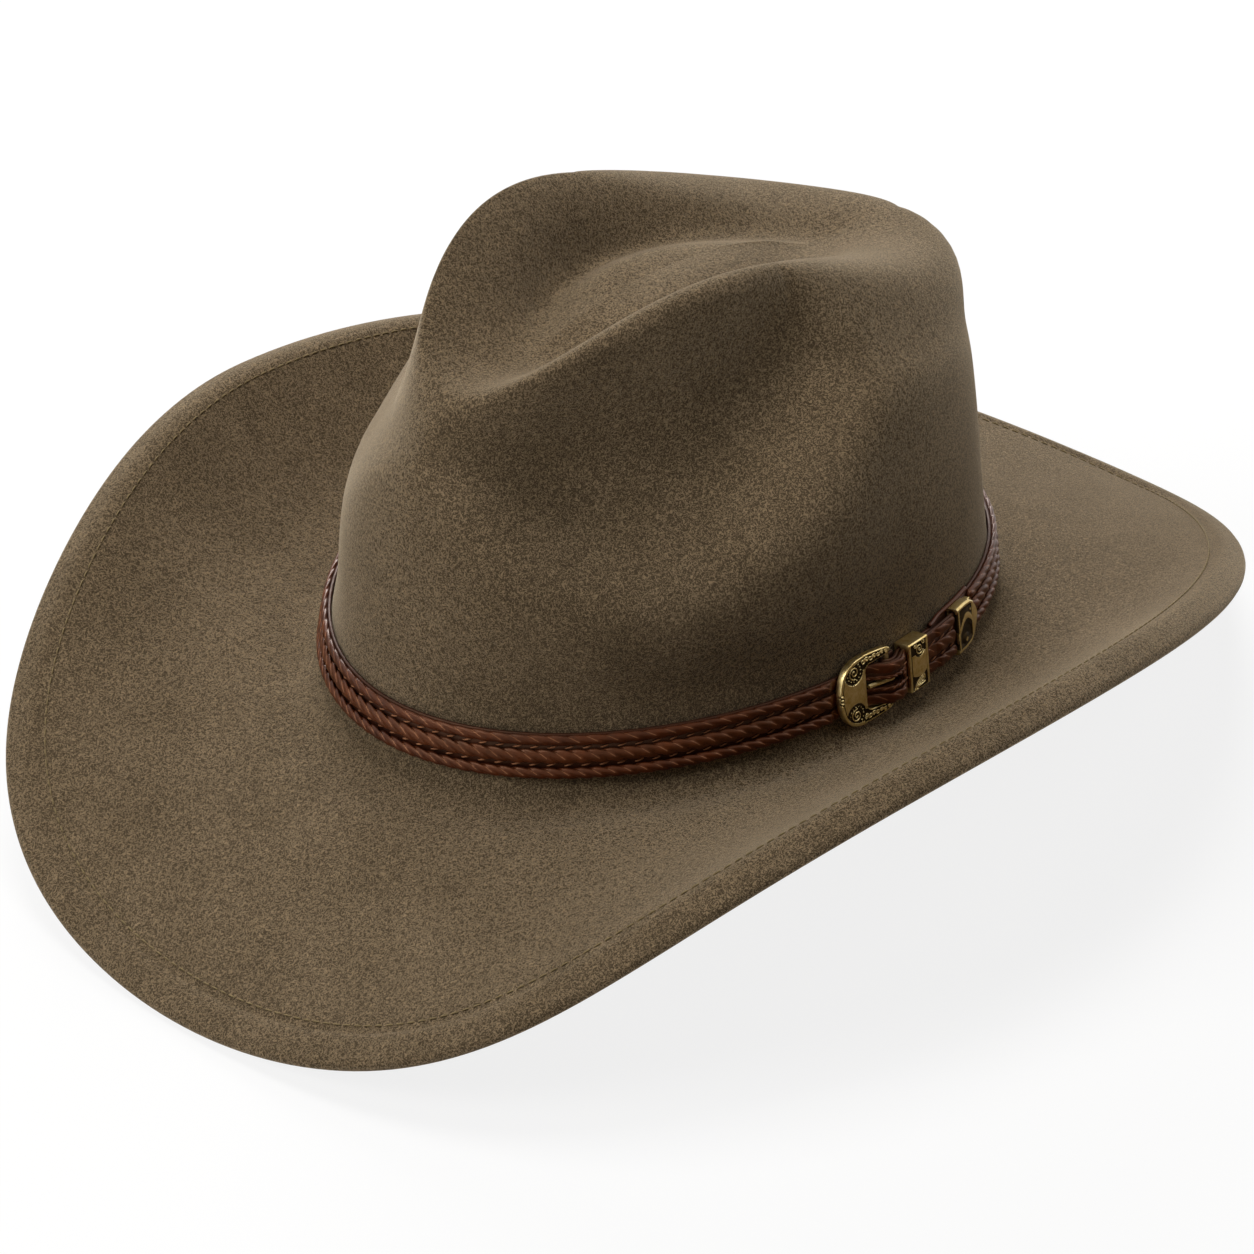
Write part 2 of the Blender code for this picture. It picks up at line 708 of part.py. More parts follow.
KEEPER_REACH = KEEPER_END + KEEPER_TRAVEL
WINDOW_HALF = BAND_WIDTH / 2 + SLIDE_GAP
TAIL_CLIMB = FRAME_WINDOW - STRAP


def blend_level(s, marks):
    # height along the band, easing between marked places
    level = np.full_like(s, marks[0][1])
    for (s0, n0), (s1, n1) in zip(marks, marks[1:]):
        level = np.where(s > s0, mix(n0, n1, ease((s - s0) / (s1 - s0))), level)
    return level


def tail_level(s):
    # tail runs on the felt, under the frame's plate, over the bar and down through the keeper
    marks = [(-TAIL_CLIMB, LEVEL_BASE), (-STRAP, LEVEL_TAIL_BAR), (STRAP, LEVEL_TAIL_BAR)]
    return blend_level(s, marks + [(KEEPER_START + STRAP, LEVEL_TAIL)])


def main_level(s):
    marks = [(STRAP, LEVEL_FOLD_TOP), (KEEPER_START, LEVEL_UNDER_KEEPER), (KEEPER_REACH, LEVEL_UNDER_KEEPER)]
    return blend_level(s, marks + [(KEEPER_REACH + RAMP, LEVEL_BASE)])


def strap_path(seat):
    # (s, n) from the folded tab, round the bar, round the hat, to the tail's end
    turn = np.linspace(-math.pi / 2, math.pi / 2, FOLD_STEPS)
    tab = [(FOLD_TAB, LEVEL_BAR - FOLD_RADIUS), (FOLD_TAB / 2, LEVEL_BAR - FOLD_RADIUS)]
    fold = [(-FOLD_RADIUS * math.cos(a), LEVEL_BAR + FOLD_RADIUS * math.sin(a)) for a in turn]
    near = np.concatenate([
        np.linspace(STRAP, KEEPER_START, 5), np.linspace(KEEPER_END, KEEPER_REACH, 2),
        np.linspace(KEEPER_REACH, KEEPER_REACH + RAMP, 6)[1:]])
    main = [(s, n) for s, n in zip(near, main_level(near))]
    far = seat.facets(KEEPER_REACH + RAMP + STRAP, seat.length - TAIL_CLIMB - STRAP)
    around = [(s, LEVEL_BASE) for s in far]
    end = np.concatenate([
        np.linspace(-TAIL_CLIMB, -STRAP, 8), np.linspace(STRAP, KEEPER_START + STRAP, 6),
        np.linspace(KEEPER_END, TAIL_END, 7)])
    tail = [(s + seat.length, n) for s, n in zip(end, tail_level(end))]
    return np.array(tab + fold + main + around + tail)


def path_normals(path):
    along = unit(np.gradient(path, axis=0))
    return np.stack([-along[:, 1], along[:, 0]], -1)


def strip_section(seat, path, out_low, out_high, u_low, u_high):
    # flat strip: four corners at each step along the path
    normal = path_normals(path)
    low = path + normal * out_low
    high = path + normal * out_high
    corners = [(low, u_low), (low, u_high), (high, u_high), (high, u_low)]
    return np.stack([seat.place(side[:, 0], side[:, 1], u) for side, u in corners], axis=1)


def bead_section(seat, path, lift, height, u_middle, width):
    # half-round bead lying on the strap's face
    normal = path_normals(path)
    sides = []
    for angle in np.linspace(0, math.pi, BEAD_SIDES):
        side = path + normal * (lift + height * math.sin(angle))
        sides.append(seat.place(side[:, 0], side[:, 1], u_middle - width / 2 * math.cos(angle)))
    return np.stack(sides, axis=1)


def build_hatband(seat, parent, leather, edge_leather, lace_leather):
    path = strap_path(seat)
    half = BAND_WIDTH / 2
    section = strip_section(seat, path, -STRAP / 2, STRAP / 2, -half, half)
    strap = mesh_object("hatband_strap", loft(section, capped=True), leather, parent, 50)
    slot = PRONG_RADIUS + SLIDE_GAP
    bar = seat.frame(-FRAME_WINDOW, LEVEL_BAR, 0.0, LEVEL_BAR)
    low = (-SLOT_REACH, -slot, -FOLD_RADIUS - STRAP)
    high = (SLOT_BACK, slot, LEVEL_TAIL_BAR + STRAP)
    cut(strap, box_cutter("prong_slot", bar, low, high, parent))
    frame_end = seat.length - FRAME_WINDOW - FRAME_PLATE
    ends = np.array([TIP_END + LACE_SETBACK, frame_end - LACE_SETBACK])
    laced = np.concatenate([ends[:1], seat.facets(ends[0] + STRAP, ends[1] - STRAP), ends[1:]])
    run = np.stack([laced, np.full_like(laced, LEVEL_BASE)], -1)
    lift = STRAP / 2 + GAP
    rows = (
        ("hatband_edge_upper", half - EDGE_WIDTH / 2, EDGE_WIDTH, edge_leather),
        ("hatband_lacing", 0.0, LACE_WIDTH, lace_leather),
        ("hatband_edge_lower", EDGE_WIDTH / 2 - half, EDGE_WIDTH, edge_leather),
    )
    for name, middle, width, finish in rows:
        bead = bead_section(seat, run, lift, LACE_HEIGHT, middle, width)
        mesh_object(name, loft(bead, capped=True), finish, parent, 60)


# Buckle set

def smooth_outline(points, steps):
    # closed outline through mirrored half points, rounded between them
    half = np.array(points)
    loop = np.concatenate([half, half[-2:0:-1] * np.array([1.0, -1.0])])
    before, after, later = (np.roll(loop, k, axis=0) for k in (1, -1, -2))
    out = []
    for t in np.arange(steps) / steps:
        out.append(0.5 * (2 * loop + (after - before) * t + (2 * before - 5 * loop + 4 * after - later) * t * t
                          + (3 * loop - before - 3 * after + later) * t ** 3))
    return np.stack(out, axis=1).reshape(-1, 2)


def frame_outlines():
    # shares of the bar, the window and the plate along x; of the window's half and the arm along y
    def points(table):
        return [(bar * BAR_RADIUS - window * FRAME_WINDOW - plate * FRAME_PLATE, half * WINDOW_HALF + arm * FRAME_ARM)
                for bar, window, plate, half, arm in table]
    return smooth_outline(points(FRAME_OUTER), 2), smooth_outline(points(FRAME_INNER), 2)


def build_frame(pivot, brass):
    outer, inner = frame_outlines()
    middle = (outer + inner) / 2
    outer_in = outer + unit(middle - outer) * FRAME_BEVEL
    inner_in = inner + unit(middle - inner) * FRAME_BEVEL
    on_plate = ease(-middle[:, 0] / FRAME_WINDOW)
    top = mix(BAR_RADIUS * BAR_FLAT, FRAME_THICKNESS / 2, on_plate)
    flat = np.zeros_like(top)
    rows = [(outer, flat), (outer_in, top), (inner_in, top), (inner, flat), (inner_in, -top), (outer_in, -top)]
    points = [np.column_stack([loop, height]) for loop, height in rows]
    mesh_object("buckle_frame", loft(points, closed_rows=True), brass, pivot, 50)


def build_prong(pivot, brass):
    # an eye round the bar, then a tongue that lies towards the plate's inner edge
    eye = BAR_RADIUS + GAP + PRONG_RADIUS
    turn = np.linspace(PRONG_EYE_START, PRONG_EYE_END, EYE_STEPS)
    points = [(eye * math.cos(a), 0.0, eye * math.sin(a)) for a in turn]
    tip_x = -FRAME_WINDOW + GAP + PRONG_RADIUS
    tip_z = FRAME_THICKNESS / 4
    points += [(share * tip_x, 0.0, mix(eye, tip_z, ease(share))) for share in PRONG_RUN]
    ring_tube("buckle_prong", points, 2 * PRONG_RADIUS, brass, pivot, cyclic=False, resolution=1)


def rounded_rectangle(half_u, low, high, radius):
    # corners as short arcs, in (y, z)
    corners = [(half_u, high, 0), (-half_u, high, 1), (-half_u, low, 2), (half_u, low, 3)]
    out = []
    for u, z, quarter in corners:
        centre_u = u - math.copysign(radius, u)
        centre_z = z - radius if z == high else z + radius
        for angle in np.linspace(quarter, quarter + 1, 4) * (math.pi / 2):
            out.append((centre_u + radius * math.cos(angle), centre_z + radius * math.sin(angle)))
    return np.array(out)


def at_station(x, outline):
    return np.column_stack([np.full(len(outline), x), outline])


def build_keeper(parent, seat, brass):
    pivot = add_pivot("keeper_seat", seat.frame(KEEPER_START, 0.0, KEEPER_END, 0.0), parent)
    low = KEEPER_CLEAR
    high = LEVEL_TAIL + STRAP / 2 + KEEPER_RELIEF + KEEPER_FACE
    half = WINDOW_HALF + KEEPER_WALL
    outer = rounded_rectangle(half, low, high, KEEPER_WALL)
    inner = rounded_rectangle(WINDOW_HALF, low + KEEPER_WALL, high - KEEPER_FACE, KEEPER_WALL / 3)
    rows = [at_station(-KEEPER_LENGTH, outer), at_station(0, outer), at_station(0, inner), at_station(-KEEPER_LENGTH, inner)]
    mesh_object("buckle_keeper", loft(rows, closed_rows=True), brass, pivot, 40)


def build_tip(parent, seat, brass):
    # a cap over the tail's end, open towards the keeper and drawn in to a blunt point
    pivot = add_pivot("tip_seat", seat.frame(TIP_START, 0.0, TAIL_END, 0.0), parent)
    inside_low = LEVEL_TAIL - STRAP / 2 - SLIDE_GAP
    inside_high = LEVEL_TAIL + STRAP / 2 + SLIDE_GAP
    half = BAND_WIDTH / 2 + GAP
    low = inside_low - TIP_BACK
    high = inside_high + TIP_FACE
    outer = []
    for share, draw in TIP_PROFILE:
        outline = rounded_rectangle((half + TIP_SIDE) * draw, low, high, TIP_SIDE)
        outer.append(at_station(share * TIP_LENGTH - TIP_SOCKET, outline))
    mouth = rounded_rectangle(half, inside_low, inside_high, GAP)
    inner = [at_station(TIP_SLACK, mouth), at_station(-TIP_SOCKET, mouth)]
    mesh_object("strap_tip", loft(inner + outer, capped=True), brass, pivot, 40)


def add_pivot(name, matrix, parent):
    made = bpy.data.objects.new(name, None)
    bpy.context.scene.collection.objects.link(made)
    made.parent = parent
    made.matrix_local = matrix
    return made


def build_buckle(parent, seat, brass):
    pivot = add_pivot("bar_pivot", seat.frame(-FRAME_WINDOW - FRAME_PLATE, LEVEL_PLATE, 0.0, LEVEL_BAR), parent)
    build_frame(pivot, brass)
    build_prong(pivot, brass)
    build_keeper(parent, seat, brass)
    build_tip(parent, seat, brass)
    return pivot


# Assembly

def build_hat():
    clear_scene()
    felt = material("taupe wool felt", (0.115, 0.090, 0.060), 0.95)
    thread = material("welt thread", (0.190, 0.150, 0.105), 0.80)
    leather = material("dark brown leather", (0.070, 0.022, 0.012), 0.45)
    edge_leather = material("rolled edge leather", (0.090, 0.028, 0.014), 0.42)
    lace = material("leather lace", (0.120, 0.040, 0.020), 0.40)
    roan = material("sweatband leather", (0.180, 0.100, 0.050), 0.55)
    tape = material("reed tape", (0.050, 0.035, 0.025), 0.70)
    satin = material("lining satin", (0.230, 0.170, 0.110), 0.35)
    brass = material("antique brass", (0.360, 0.270, 0.120), 0.35, 1.0)

    phi = columns(COLUMNS)
    rows, ground = felt_solid(phi)
    middle_y = (BRIM_REAR - BRIM_FRONT) / 2
    hat = add_pivot("hat", Matrix.Translation((0.0, -middle_y, -ground)), None)
    mesh_object("felt_body", loft(rows), felt, hat, 60)
    ring_tube("welt_thread", welt_thread_points(phi), WELT_THREAD, thread, hat)
    build_sweatband(hat, roan, tape, thread)

    build_lining(phi, hat, satin)

    seat = BandSeat()
    build_hatband(seat, hat, leather, edge_leather, lace)
    pivot = build_buckle(hat, seat, brass)
    bpy.context.view_layer.update()
    print("bar axis", pivot.matrix_world.translation, pivot.matrix_world.col[1].xyz)
    slide = bpy.data.objects["keeper_seat"].matrix_world
    print("keeper slide", slide.translation, slide.col[0].xyz)


build_hat()
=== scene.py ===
import json
import math

import bmesh
import bpy
import numpy as np
from mathutils import Matrix, Vector

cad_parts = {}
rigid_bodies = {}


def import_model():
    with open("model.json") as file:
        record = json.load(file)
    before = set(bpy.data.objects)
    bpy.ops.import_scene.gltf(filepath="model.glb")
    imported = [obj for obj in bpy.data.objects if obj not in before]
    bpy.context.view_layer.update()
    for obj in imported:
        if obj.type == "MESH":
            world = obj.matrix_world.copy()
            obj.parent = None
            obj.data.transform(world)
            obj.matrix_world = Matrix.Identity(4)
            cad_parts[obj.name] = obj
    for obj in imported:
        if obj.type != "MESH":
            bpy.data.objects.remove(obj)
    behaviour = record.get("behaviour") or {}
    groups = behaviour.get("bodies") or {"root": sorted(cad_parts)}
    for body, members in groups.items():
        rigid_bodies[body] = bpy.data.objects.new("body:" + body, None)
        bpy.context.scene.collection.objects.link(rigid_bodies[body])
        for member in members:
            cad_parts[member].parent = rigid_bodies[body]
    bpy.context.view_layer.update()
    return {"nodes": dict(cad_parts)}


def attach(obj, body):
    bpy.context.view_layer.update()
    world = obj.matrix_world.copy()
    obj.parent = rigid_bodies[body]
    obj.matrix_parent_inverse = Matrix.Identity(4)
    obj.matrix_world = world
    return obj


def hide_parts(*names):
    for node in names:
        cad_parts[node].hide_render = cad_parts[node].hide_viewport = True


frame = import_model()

mm = 0.001
scene = bpy.context.scene
scene.view_settings.view_transform = "Standard"


# Small tools

def ease(t):
    t = np.clip(t, 0.0, 1.0)
    return t * t * (3.0 - 2.0 * t)


def mix(a, b, t):
    return a + (b - a) * t


def unit(v):
    return v / np.linalg.norm(v, axis=-1, keepdims=True)


def fullTurn(count):
    return np.arange(count) * (2 * math.pi / count)


def closedPath(points):
    return np.concatenate([points, points[:1]])


def runOf(path):
    # distance along a path at each of its points
    return np.concatenate([[0.0], np.cumsum(np.linalg.norm(np.diff(path, axis=0), axis=1))])


def pointAt(path, run, s):
    return np.stack([np.interp(s, run, path[:, k]) for k in range(3)], -1)


def hexColour(text):
    # sRGB hex to the linear colour that a shader takes
    channels = [int(text[i:i + 2], 16) / 255 for i in (1, 3, 5)]
    linear = [c / 12.92 if c <= 0.04045 else ((c + 0.055) / 1.055) ** 2.4 for c in channels]
    return (*linear, 1.0)


def addNode(tree, kind, settings, links={}):
    node = tree.nodes.new(kind)
    for key, value in settings.items():
        if isinstance(key, int) or key in node.inputs:
            node.inputs[key].default_value = value
        else:
            setattr(node, key, value)
    for key, source in links.items():
        tree.links.new(getattr(source, "outputs", [source])[0], node.inputs[key])
    return node


def objectPlace(tree):
    return addNode(tree, "ShaderNodeTexCoord", {}).outputs["Object"]


def noiseOf(tree, place, size, detail, roughness=0.5):
    # noise whose features have a given size in metres
    settings = {"Scale": 1 / size, "Detail": detail, "Roughness": roughness}
    return addNode(tree, "ShaderNodeTexNoise", settings, {"Vector": place})


def streaksOf(tree, place, size):
    # noise drawn out to a given size along each axis
    lay = addNode(tree, "ShaderNodeMapping", {"vector_type": "TEXTURE", "Scale": size}, {"Vector": place})
    return noiseOf(tree, lay, size=1.0, detail=1.0)


def rescaled(tree, value, settings):
    return addNode(tree, "ShaderNodeMapRange", settings, {"Value": value})


def largerOf(tree, first, second):
    return addNode(tree, "ShaderNodeMath", {"operation": "MAXIMUM"}, {0: first, 1: second})


def mixColours(tree, low, high, share):
    settings = {"data_type": "RGBA", 6: hexColour(low), 7: hexColour(high)}
    return addNode(tree, "ShaderNodeMix", settings, {0: share}).outputs[2]


def giveSurface(tree, shader, colour, height, strength, depth):
    # a colour, and a relief of a given depth in metres
    tree.links.new(colour, shader.inputs["Base Color"])
    bump = addNode(tree, "ShaderNodeBump", {"Strength": strength, "Distance": depth}, {"Height": height})
    tree.links.new(bump.outputs[0], shader.inputs["Normal"])


def newMaterial(name, settings):
    made = bpy.data.materials.new(name)
    made.use_nodes = True
    tree = made.node_tree
    shader = tree.nodes["Principled BSDF"]
    for key, value in settings.items():
        shader.inputs[key].default_value = value
    return made, tree, shader


def addObject(name, data):
    made = bpy.data.objects.new(name, data)
    scene.collection.objects.link(made)
    return made


def addPiece(name, bm, materials, body, smoothAngle=180.0):
    bmesh.ops.recalc_face_normals(bm, faces=bm.faces)
    data = bpy.data.meshes.new(name)
    bm.to_mesh(data)
    bm.free()
    data.shade_smooth()
    if smoothAngle < 180.0:
        data.set_sharp_from_angle(angle=math.radians(smoothAngle))
    for material in materials if isinstance(materials, tuple) else (materials,):
        data.materials.append(material)
    piece = addObject(name, data)
    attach(piece, body)
    return piece


def skinRows(bm, rows, closedRows=False, closedColumns=True, capped=False):
    # skin between rows of points; a row of one point is a pole
    rings = [[bm.verts.new(Vector(map(float, p))) for p in row] for row in rows]
    pairs = list(zip(rings, rings[1:]))
    if closedRows:
        pairs.append((rings[-1], rings[0]))
    for upper, lower in pairs:
        count = max(len(upper), len(lower))
        for j in range(count if closedColumns else count - 1):
            k = (j + 1) % count
            if len(upper) == 1:
                corners = (upper[0], lower[j], lower[k])
            elif len(lower) == 1:
                corners = (upper[j], lower[0], upper[k])
            else:
                corners = (upper[j], lower[j], lower[k], upper[k])
            bm.faces.new(corners)
    if capped:
        bm.faces.new(rings[0])
        bm.faces.new(list(reversed(rings[-1])))
    return bm


# Crown and brim surface: metres, front at -Y, phi 0 at the front and a quarter turn at the wearer's left,
# heights from the brim's break; the crown's creases are pressed a few millimetres further than in the frame

hatSeat = np.array([0.0, -0.0123, 0.0454556])

crown = dict(
    ovalLength=0.2122, ovalWidth=0.1672, sideLift=0.0022, felt=0.0022, breakRadius=0.0040,
    lean=0.1105, quarterLean=0.0541, quarterAngle=math.radians(43), quarterSpread=math.radians(31),
    shoulderNose=0.0783, shoulderQuarter=0.0600, shoulderLip=0.0875, shoulderRear=0.0600,
    lipStart=math.radians(54), lipEnd=math.radians(102),
    noseSetback=0.0300, rearSetback=0.0220, ridgeWidth=0.0770, noseTaper=0.487, rearTaper=0.620,
    ridgeNose=0.1050, ridgeRear=0.0986, ridgeArch=0.0270, archNose=1.010, archRear=1.827,
    browReach=0.0030, browFall=0.0034, browNoseReach=0.0055, browNoseShare=0.65, browRearReach=0.0106,
    sideDent=0.0175, farDent=0.0040, dentAngle=math.radians(50), dentShare=0.42,
    dentAhead=math.radians(39), aheadPower=4, dentBehind=math.radians(42), behindPower=8,
    nearBrow=0.0046, nearBrowAngle=math.radians(60), nearBrowSpread=math.radians(36),
    lipReach=0.0030, lipAngle=math.radians(78), lipSpread=math.radians(32),
    rearFullness=0.0018, noseFullness=0.0020, flankFullness=0.0060, nosePower=6, rearPower=0.5,
    floor=0.1120, floorNose=0.0919, floorRear=0.0832, floorMiddleY=-0.005, groove=0.0055,
    islandShare=0.68, islandSink=0.15, grooveShare=0.42, grooveDepth=0.95,
    dentWallShare=0.23, dentWallDepth=0.48, noseSoftness=0.10,
    nearIslandShare=0.55, nearGrooveShare=0.26, nearWallShare=0.08, nearWallDepth=0.55,
    nearSpread=math.radians(50), profileSteps=90,
)

brim = dict(
    front=0.0864, rear=0.1110, side=0.0678, widestY=-0.0254, dip=0.0422, roll=0.0345,
    cornerFront=0.322, cornerRear=-0.313, roundFront=-0.292, roundRear=0.177, flare=0.72,
    weltWidth=0.0100, welt=0.0042, weltDrop=0.0045, weltDropSide=0.0020, tangentStep=1e-4,
    rowShares=(0.07, 0.20, 0.40, 0.60, 0.80, 1.00),
)

band = dict(
    seat=0.0064, width=0.0125, strap=0.0010, barAngle=math.radians(91.5), gap=0.0003,
    columns=1440, axisStep=2 * mm,
)

halfLength = crown["ovalLength"] / 2
halfWidth = crown["ovalWidth"] / 2
noseY = crown["noseSetback"] - halfLength
rearY = halfLength - crown["rearSetback"]
liningEdge = 0.030


def splineKnots(points):
    steps = np.linalg.norm(np.diff(points, axis=0), axis=-1).mean(axis=-1)
    return np.concatenate([[0.0], np.cumsum(np.sqrt(steps))])


def spline(points, s):
    # natural cubic through rows of points, all columns at once
    p = np.asarray(points)
    t = splineKnots(p)
    h = np.diff(t)
    last = len(p) - 1
    matrix = np.eye(len(p))
    right = np.zeros_like(p)
    for i in range(1, last):
        matrix[i, i - 1:i + 2] = h[i - 1], 2 * (h[i - 1] + h[i]), h[i]
        right[i] = 6 * ((p[i + 1] - p[i]) / h[i] - (p[i] - p[i - 1]) / h[i - 1])
    bend = np.tensordot(np.linalg.inv(matrix), right, axes=1)
    i = np.clip(np.searchsorted(t, s, side="right") - 1, 0, last - 1)
    a = ((t[i + 1] - s) / h[i])[:, None, None]
    b = ((s - t[i]) / h[i])[:, None, None]
    sixth = (h[i] ** 2)[:, None, None] / 6
    return a * p[i] + b * p[i + 1] + ((a ** 3 - a) * bend[i] + (b ** 3 - b) * bend[i + 1]) * sixth


def turns(count):
    turn = fullTurn(count)
    return np.where(turn > math.pi, turn - 2 * math.pi, turn)


def oval(phi):
    lift = -crown["sideLift"] * np.cos(2 * phi)
    return np.stack([halfWidth * np.sin(phi), -halfLength * np.cos(phi), lift], -1)


def outward(phi):
    return unit(oval(phi) * np.array([1.0, 1.0, 0.0]))


def wall(phi, height):
    base = oval(phi)
    offQuarter = (np.abs(phi) - crown["quarterAngle"]) / crown["quarterSpread"]
    lean = crown["lean"] + crown["quarterLean"] * np.exp(-offQuarter ** 2)
    p = base - outward(phi) * (lean * height)[:, None]
    p[:, 2] = base[:, 2] * (1 - ease(height / crown["shoulderQuarter"])) + height
    return p


def shoulder(phi):
    turn = np.abs(phi)
    nose = ease(1 - turn / crown["quarterAngle"])
    lip = ease((turn - crown["lipStart"]) / (crown["lipEnd"] - crown["lipStart"]))
    rear = ease((turn - crown["lipEnd"]) / (math.pi - crown["lipEnd"]))
    ahead = mix(crown["shoulderQuarter"], crown["shoulderNose"], nose)
    toLip = (crown["shoulderLip"] - crown["shoulderQuarter"]) * lip
    return ahead + toLip + (crown["shoulderRear"] - crown["shoulderLip"]) * rear


def hump(t, rise, fall):
    # runs 0 to 1 to 0 over t, with its own power at each end
    peak = rise / (rise + fall)
    return (t / peak) ** rise * ((1 - t) / (1 - peak)) ** fall


def ridge(phi):
    t = (1 - np.cos(phi)) / 2
    x = np.sign(np.sin(phi)) * crown["ridgeWidth"] / 2 * hump(t, crown["noseTaper"], crown["rearTaper"])
    y = mix(noseY, rearY, t)
    arch = crown["ridgeArch"] * hump(t, crown["archNose"], crown["archRear"])
    z = mix(crown["ridgeNose"], crown["ridgeRear"], t) + arch
    return np.stack([x, y, z], -1)


def dentPoint(phi, inward, depth, groove):
    # between the ridge and the middle of the teardrop dent's floor
    top = ridge(phi)
    p = top.copy()
    p[:, 0] *= 1 - inward
    p[:, 1] = mix(top[:, 1], crown["floorMiddleY"], inward)
    front = (crown["floor"] - crown["floorNose"]) * (p[:, 1] / noseY) ** 2
    rear = (crown["floor"] - crown["floorRear"]) * (p[:, 1] / rearY) ** 2
    floor = crown["floor"] - np.where(p[:, 1] < 0, front, rear)
    p[:, 2] = mix(top[:, 2], floor, depth) - groove
    return p


def brimEdge(phi):
    b = brim
    c, s = np.cos(phi), np.abs(np.sin(phi))
    frontY, rearY = -halfLength - b["front"], halfLength + b["rear"]
    back = ease((1 - c) / 2)
    rounding = mix(b["roundFront"], b["roundRear"], back) * s * s
    corner = mix(b["cornerFront"], b["cornerRear"], back) + rounding
    x = (halfWidth + b["side"]) * np.sin(phi) * (1 + corner * c * c)
    ahead = (frontY - b["widestY"]) * np.clip(c, 0, 1)
    y = b["widestY"] + ahead + (rearY - b["widestY"]) * np.clip(-c, 0, 1)
    z = -b["dip"] + (b["roll"] + b["dip"]) * s * s
    return np.stack([x, y, z], -1)


def edgeRun(phi):
    return brimEdge(phi + brim["tangentStep"]) - brimEdge(phi - brim["tangentStep"])


def stitchLine(phi):
    along = unit(edgeRun(phi) * np.array([1.0, 1.0, 0.0]))
    p = brimEdge(phi) + np.cross(np.array([0.0, 0.0, 1.0]), along) * brim["weltWidth"]
    p[:, 2] += mix(brim["weltDrop"], brim["weltDropSide"], np.sin(phi) ** 2)
    return p


def brimPoint(phi, u):
    # from the break (0) to the welt's seam (1): the sides start flat and curl, front and rear slope down
    base, seam = oval(phi), stitchLine(phi)
    slope = brim["flare"] * (1 - ease(np.sin(phi) ** 2))
    p = mix(base, seam, u)
    p[:, 2] = mix(base[:, 2], seam[:, 2], slope * u + (1 - slope) * u * u)
    return p


def feltControls(phi):
    # from the middle of the top dent, over the ridge and its brow, down the side dent and the wall, along the brim
    f = crown
    c, s = np.cos(phi), np.abs(np.sin(phi))
    soft = f["noseSoftness"] * np.clip(c, 0, 1) ** 2
    rear = np.clip(-c, 0, 1) ** f["rearPower"]
    nose = np.clip(c, 0, 1) ** f["nosePower"]
    flank = f["flankFullness"] * np.clip(-2 * c * s, 0, 1)
    off = np.abs(phi) - f["dentAngle"]
    ahead = np.abs(off / f["dentAhead"]) ** f["aheadPower"]
    behind = np.abs(off / f["dentBehind"]) ** f["behindPower"]
    scoop = np.exp(-np.where(off < 0, ahead, behind))
    lip = f["lipReach"] * np.exp(-((phi - f["lipAngle"]) / f["lipSpread"]) ** 2)
    out, top = outward(phi), ridge(phi)
    edge = wall(phi, shoulder(phi)) + out * lip[:, None]
    fromBrow = phi - f["nearBrowAngle"]
    near = np.exp(-(fromBrow / f["nearSpread"]) ** 2)
    nearBrow = f["nearBrow"] * np.exp(-(fromBrow / f["nearBrowSpread"]) ** 2)
    reach = f["browReach"] + f["browRearReach"] * rear + f["browNoseReach"] * nose + flank + nearBrow
    brow = top + out * reach[:, None]
    brow[:, 2] -= f["browFall"] * mix(1, f["browNoseShare"], nose)
    # pressed deeper and with harder edges on the wearer's left, where the dent ends in a lip
    dent = mix(f["farDent"], f["sideDent"], ease(0.5 + np.sin(phi)))
    push = f["rearFullness"] * rear + f["noseFullness"] * nose - dent * scoop
    island = mix(f["islandShare"], f["nearIslandShare"], near) + soft
    groove = mix(f["grooveShare"], f["nearGrooveShare"], near) + soft
    dentWall = mix(f["dentWallShare"], f["nearWallShare"], near) + soft
    heights = (liningEdge, band["seat"] + band["width"], band["seat"], f["breakRadius"])
    return [
        dentPoint(phi, np.ones_like(c), 1.0, 0.0),
        dentPoint(phi, island, 1.0, f["islandSink"] * f["groove"] * s),
        dentPoint(phi, groove, f["grooveDepth"], f["groove"] * s),
        dentPoint(phi, dentWall, mix(f["dentWallDepth"], f["nearWallDepth"], near), 0.0),
        top,
        brow,
        mix(edge, brow, f["dentShare"]) + out * push[:, None],
        edge,
        *[wall(phi, np.full_like(phi, h)) for h in heights],
        *[brimPoint(phi, u) for u in brim["rowShares"]],
    ]


# rows of the controls at the shoulder and at the start of the brim, and how many spans lie between rows
shoulderRow, firstBrimRow, spans = 7, 12, 17


def feltProfile(phi):
    controls = feltControls(phi)
    return controls, splineKnots(np.asarray(controls))


def feltRows(phi, steps):
    controls, knots = feltProfile(phi)
    at = [np.linspace(a, b, n, endpoint=False) for a, b, n in zip(knots, knots[1:], steps)]
    return spline(controls, np.append(np.concatenate(at), knots[-1]))


def surfaceNormals(rows):
    step = unit(np.diff(rows, axis=0))
    down = np.concatenate([step[:1], step[:-1] + step[1:], step[-1:]])
    around = np.roll(rows, -1, axis=1) - np.roll(rows, 1, axis=1)
    normal = np.cross(down, around)
    normal[0] = np.array([0.0, 0.0, 1.0])
    return unit(normal)


def wallLoop(phi, height, inset):
    # felt wall at one height above the break, moved inward
    controls, knots = feltProfile(phi)
    profile = spline(controls, np.linspace(knots[shoulderRow], knots[firstBrimRow], crown["profileSteps"]))
    level = oval(phi)[:, 2] * (1 - ease(height / crown["shoulderQuarter"])) + height
    points = np.empty((len(phi), 3))
    for j in range(len(phi)):
        falling = profile[:int(np.argmin(profile[:, j, 2])) + 1, j]
        for axis in (0, 1):
            points[j, axis] = np.interp(-level[j], -falling[:, 2], falling[:, axis])
    points[:, 2] = level
    return points - outward(phi) * inset


# Felt body

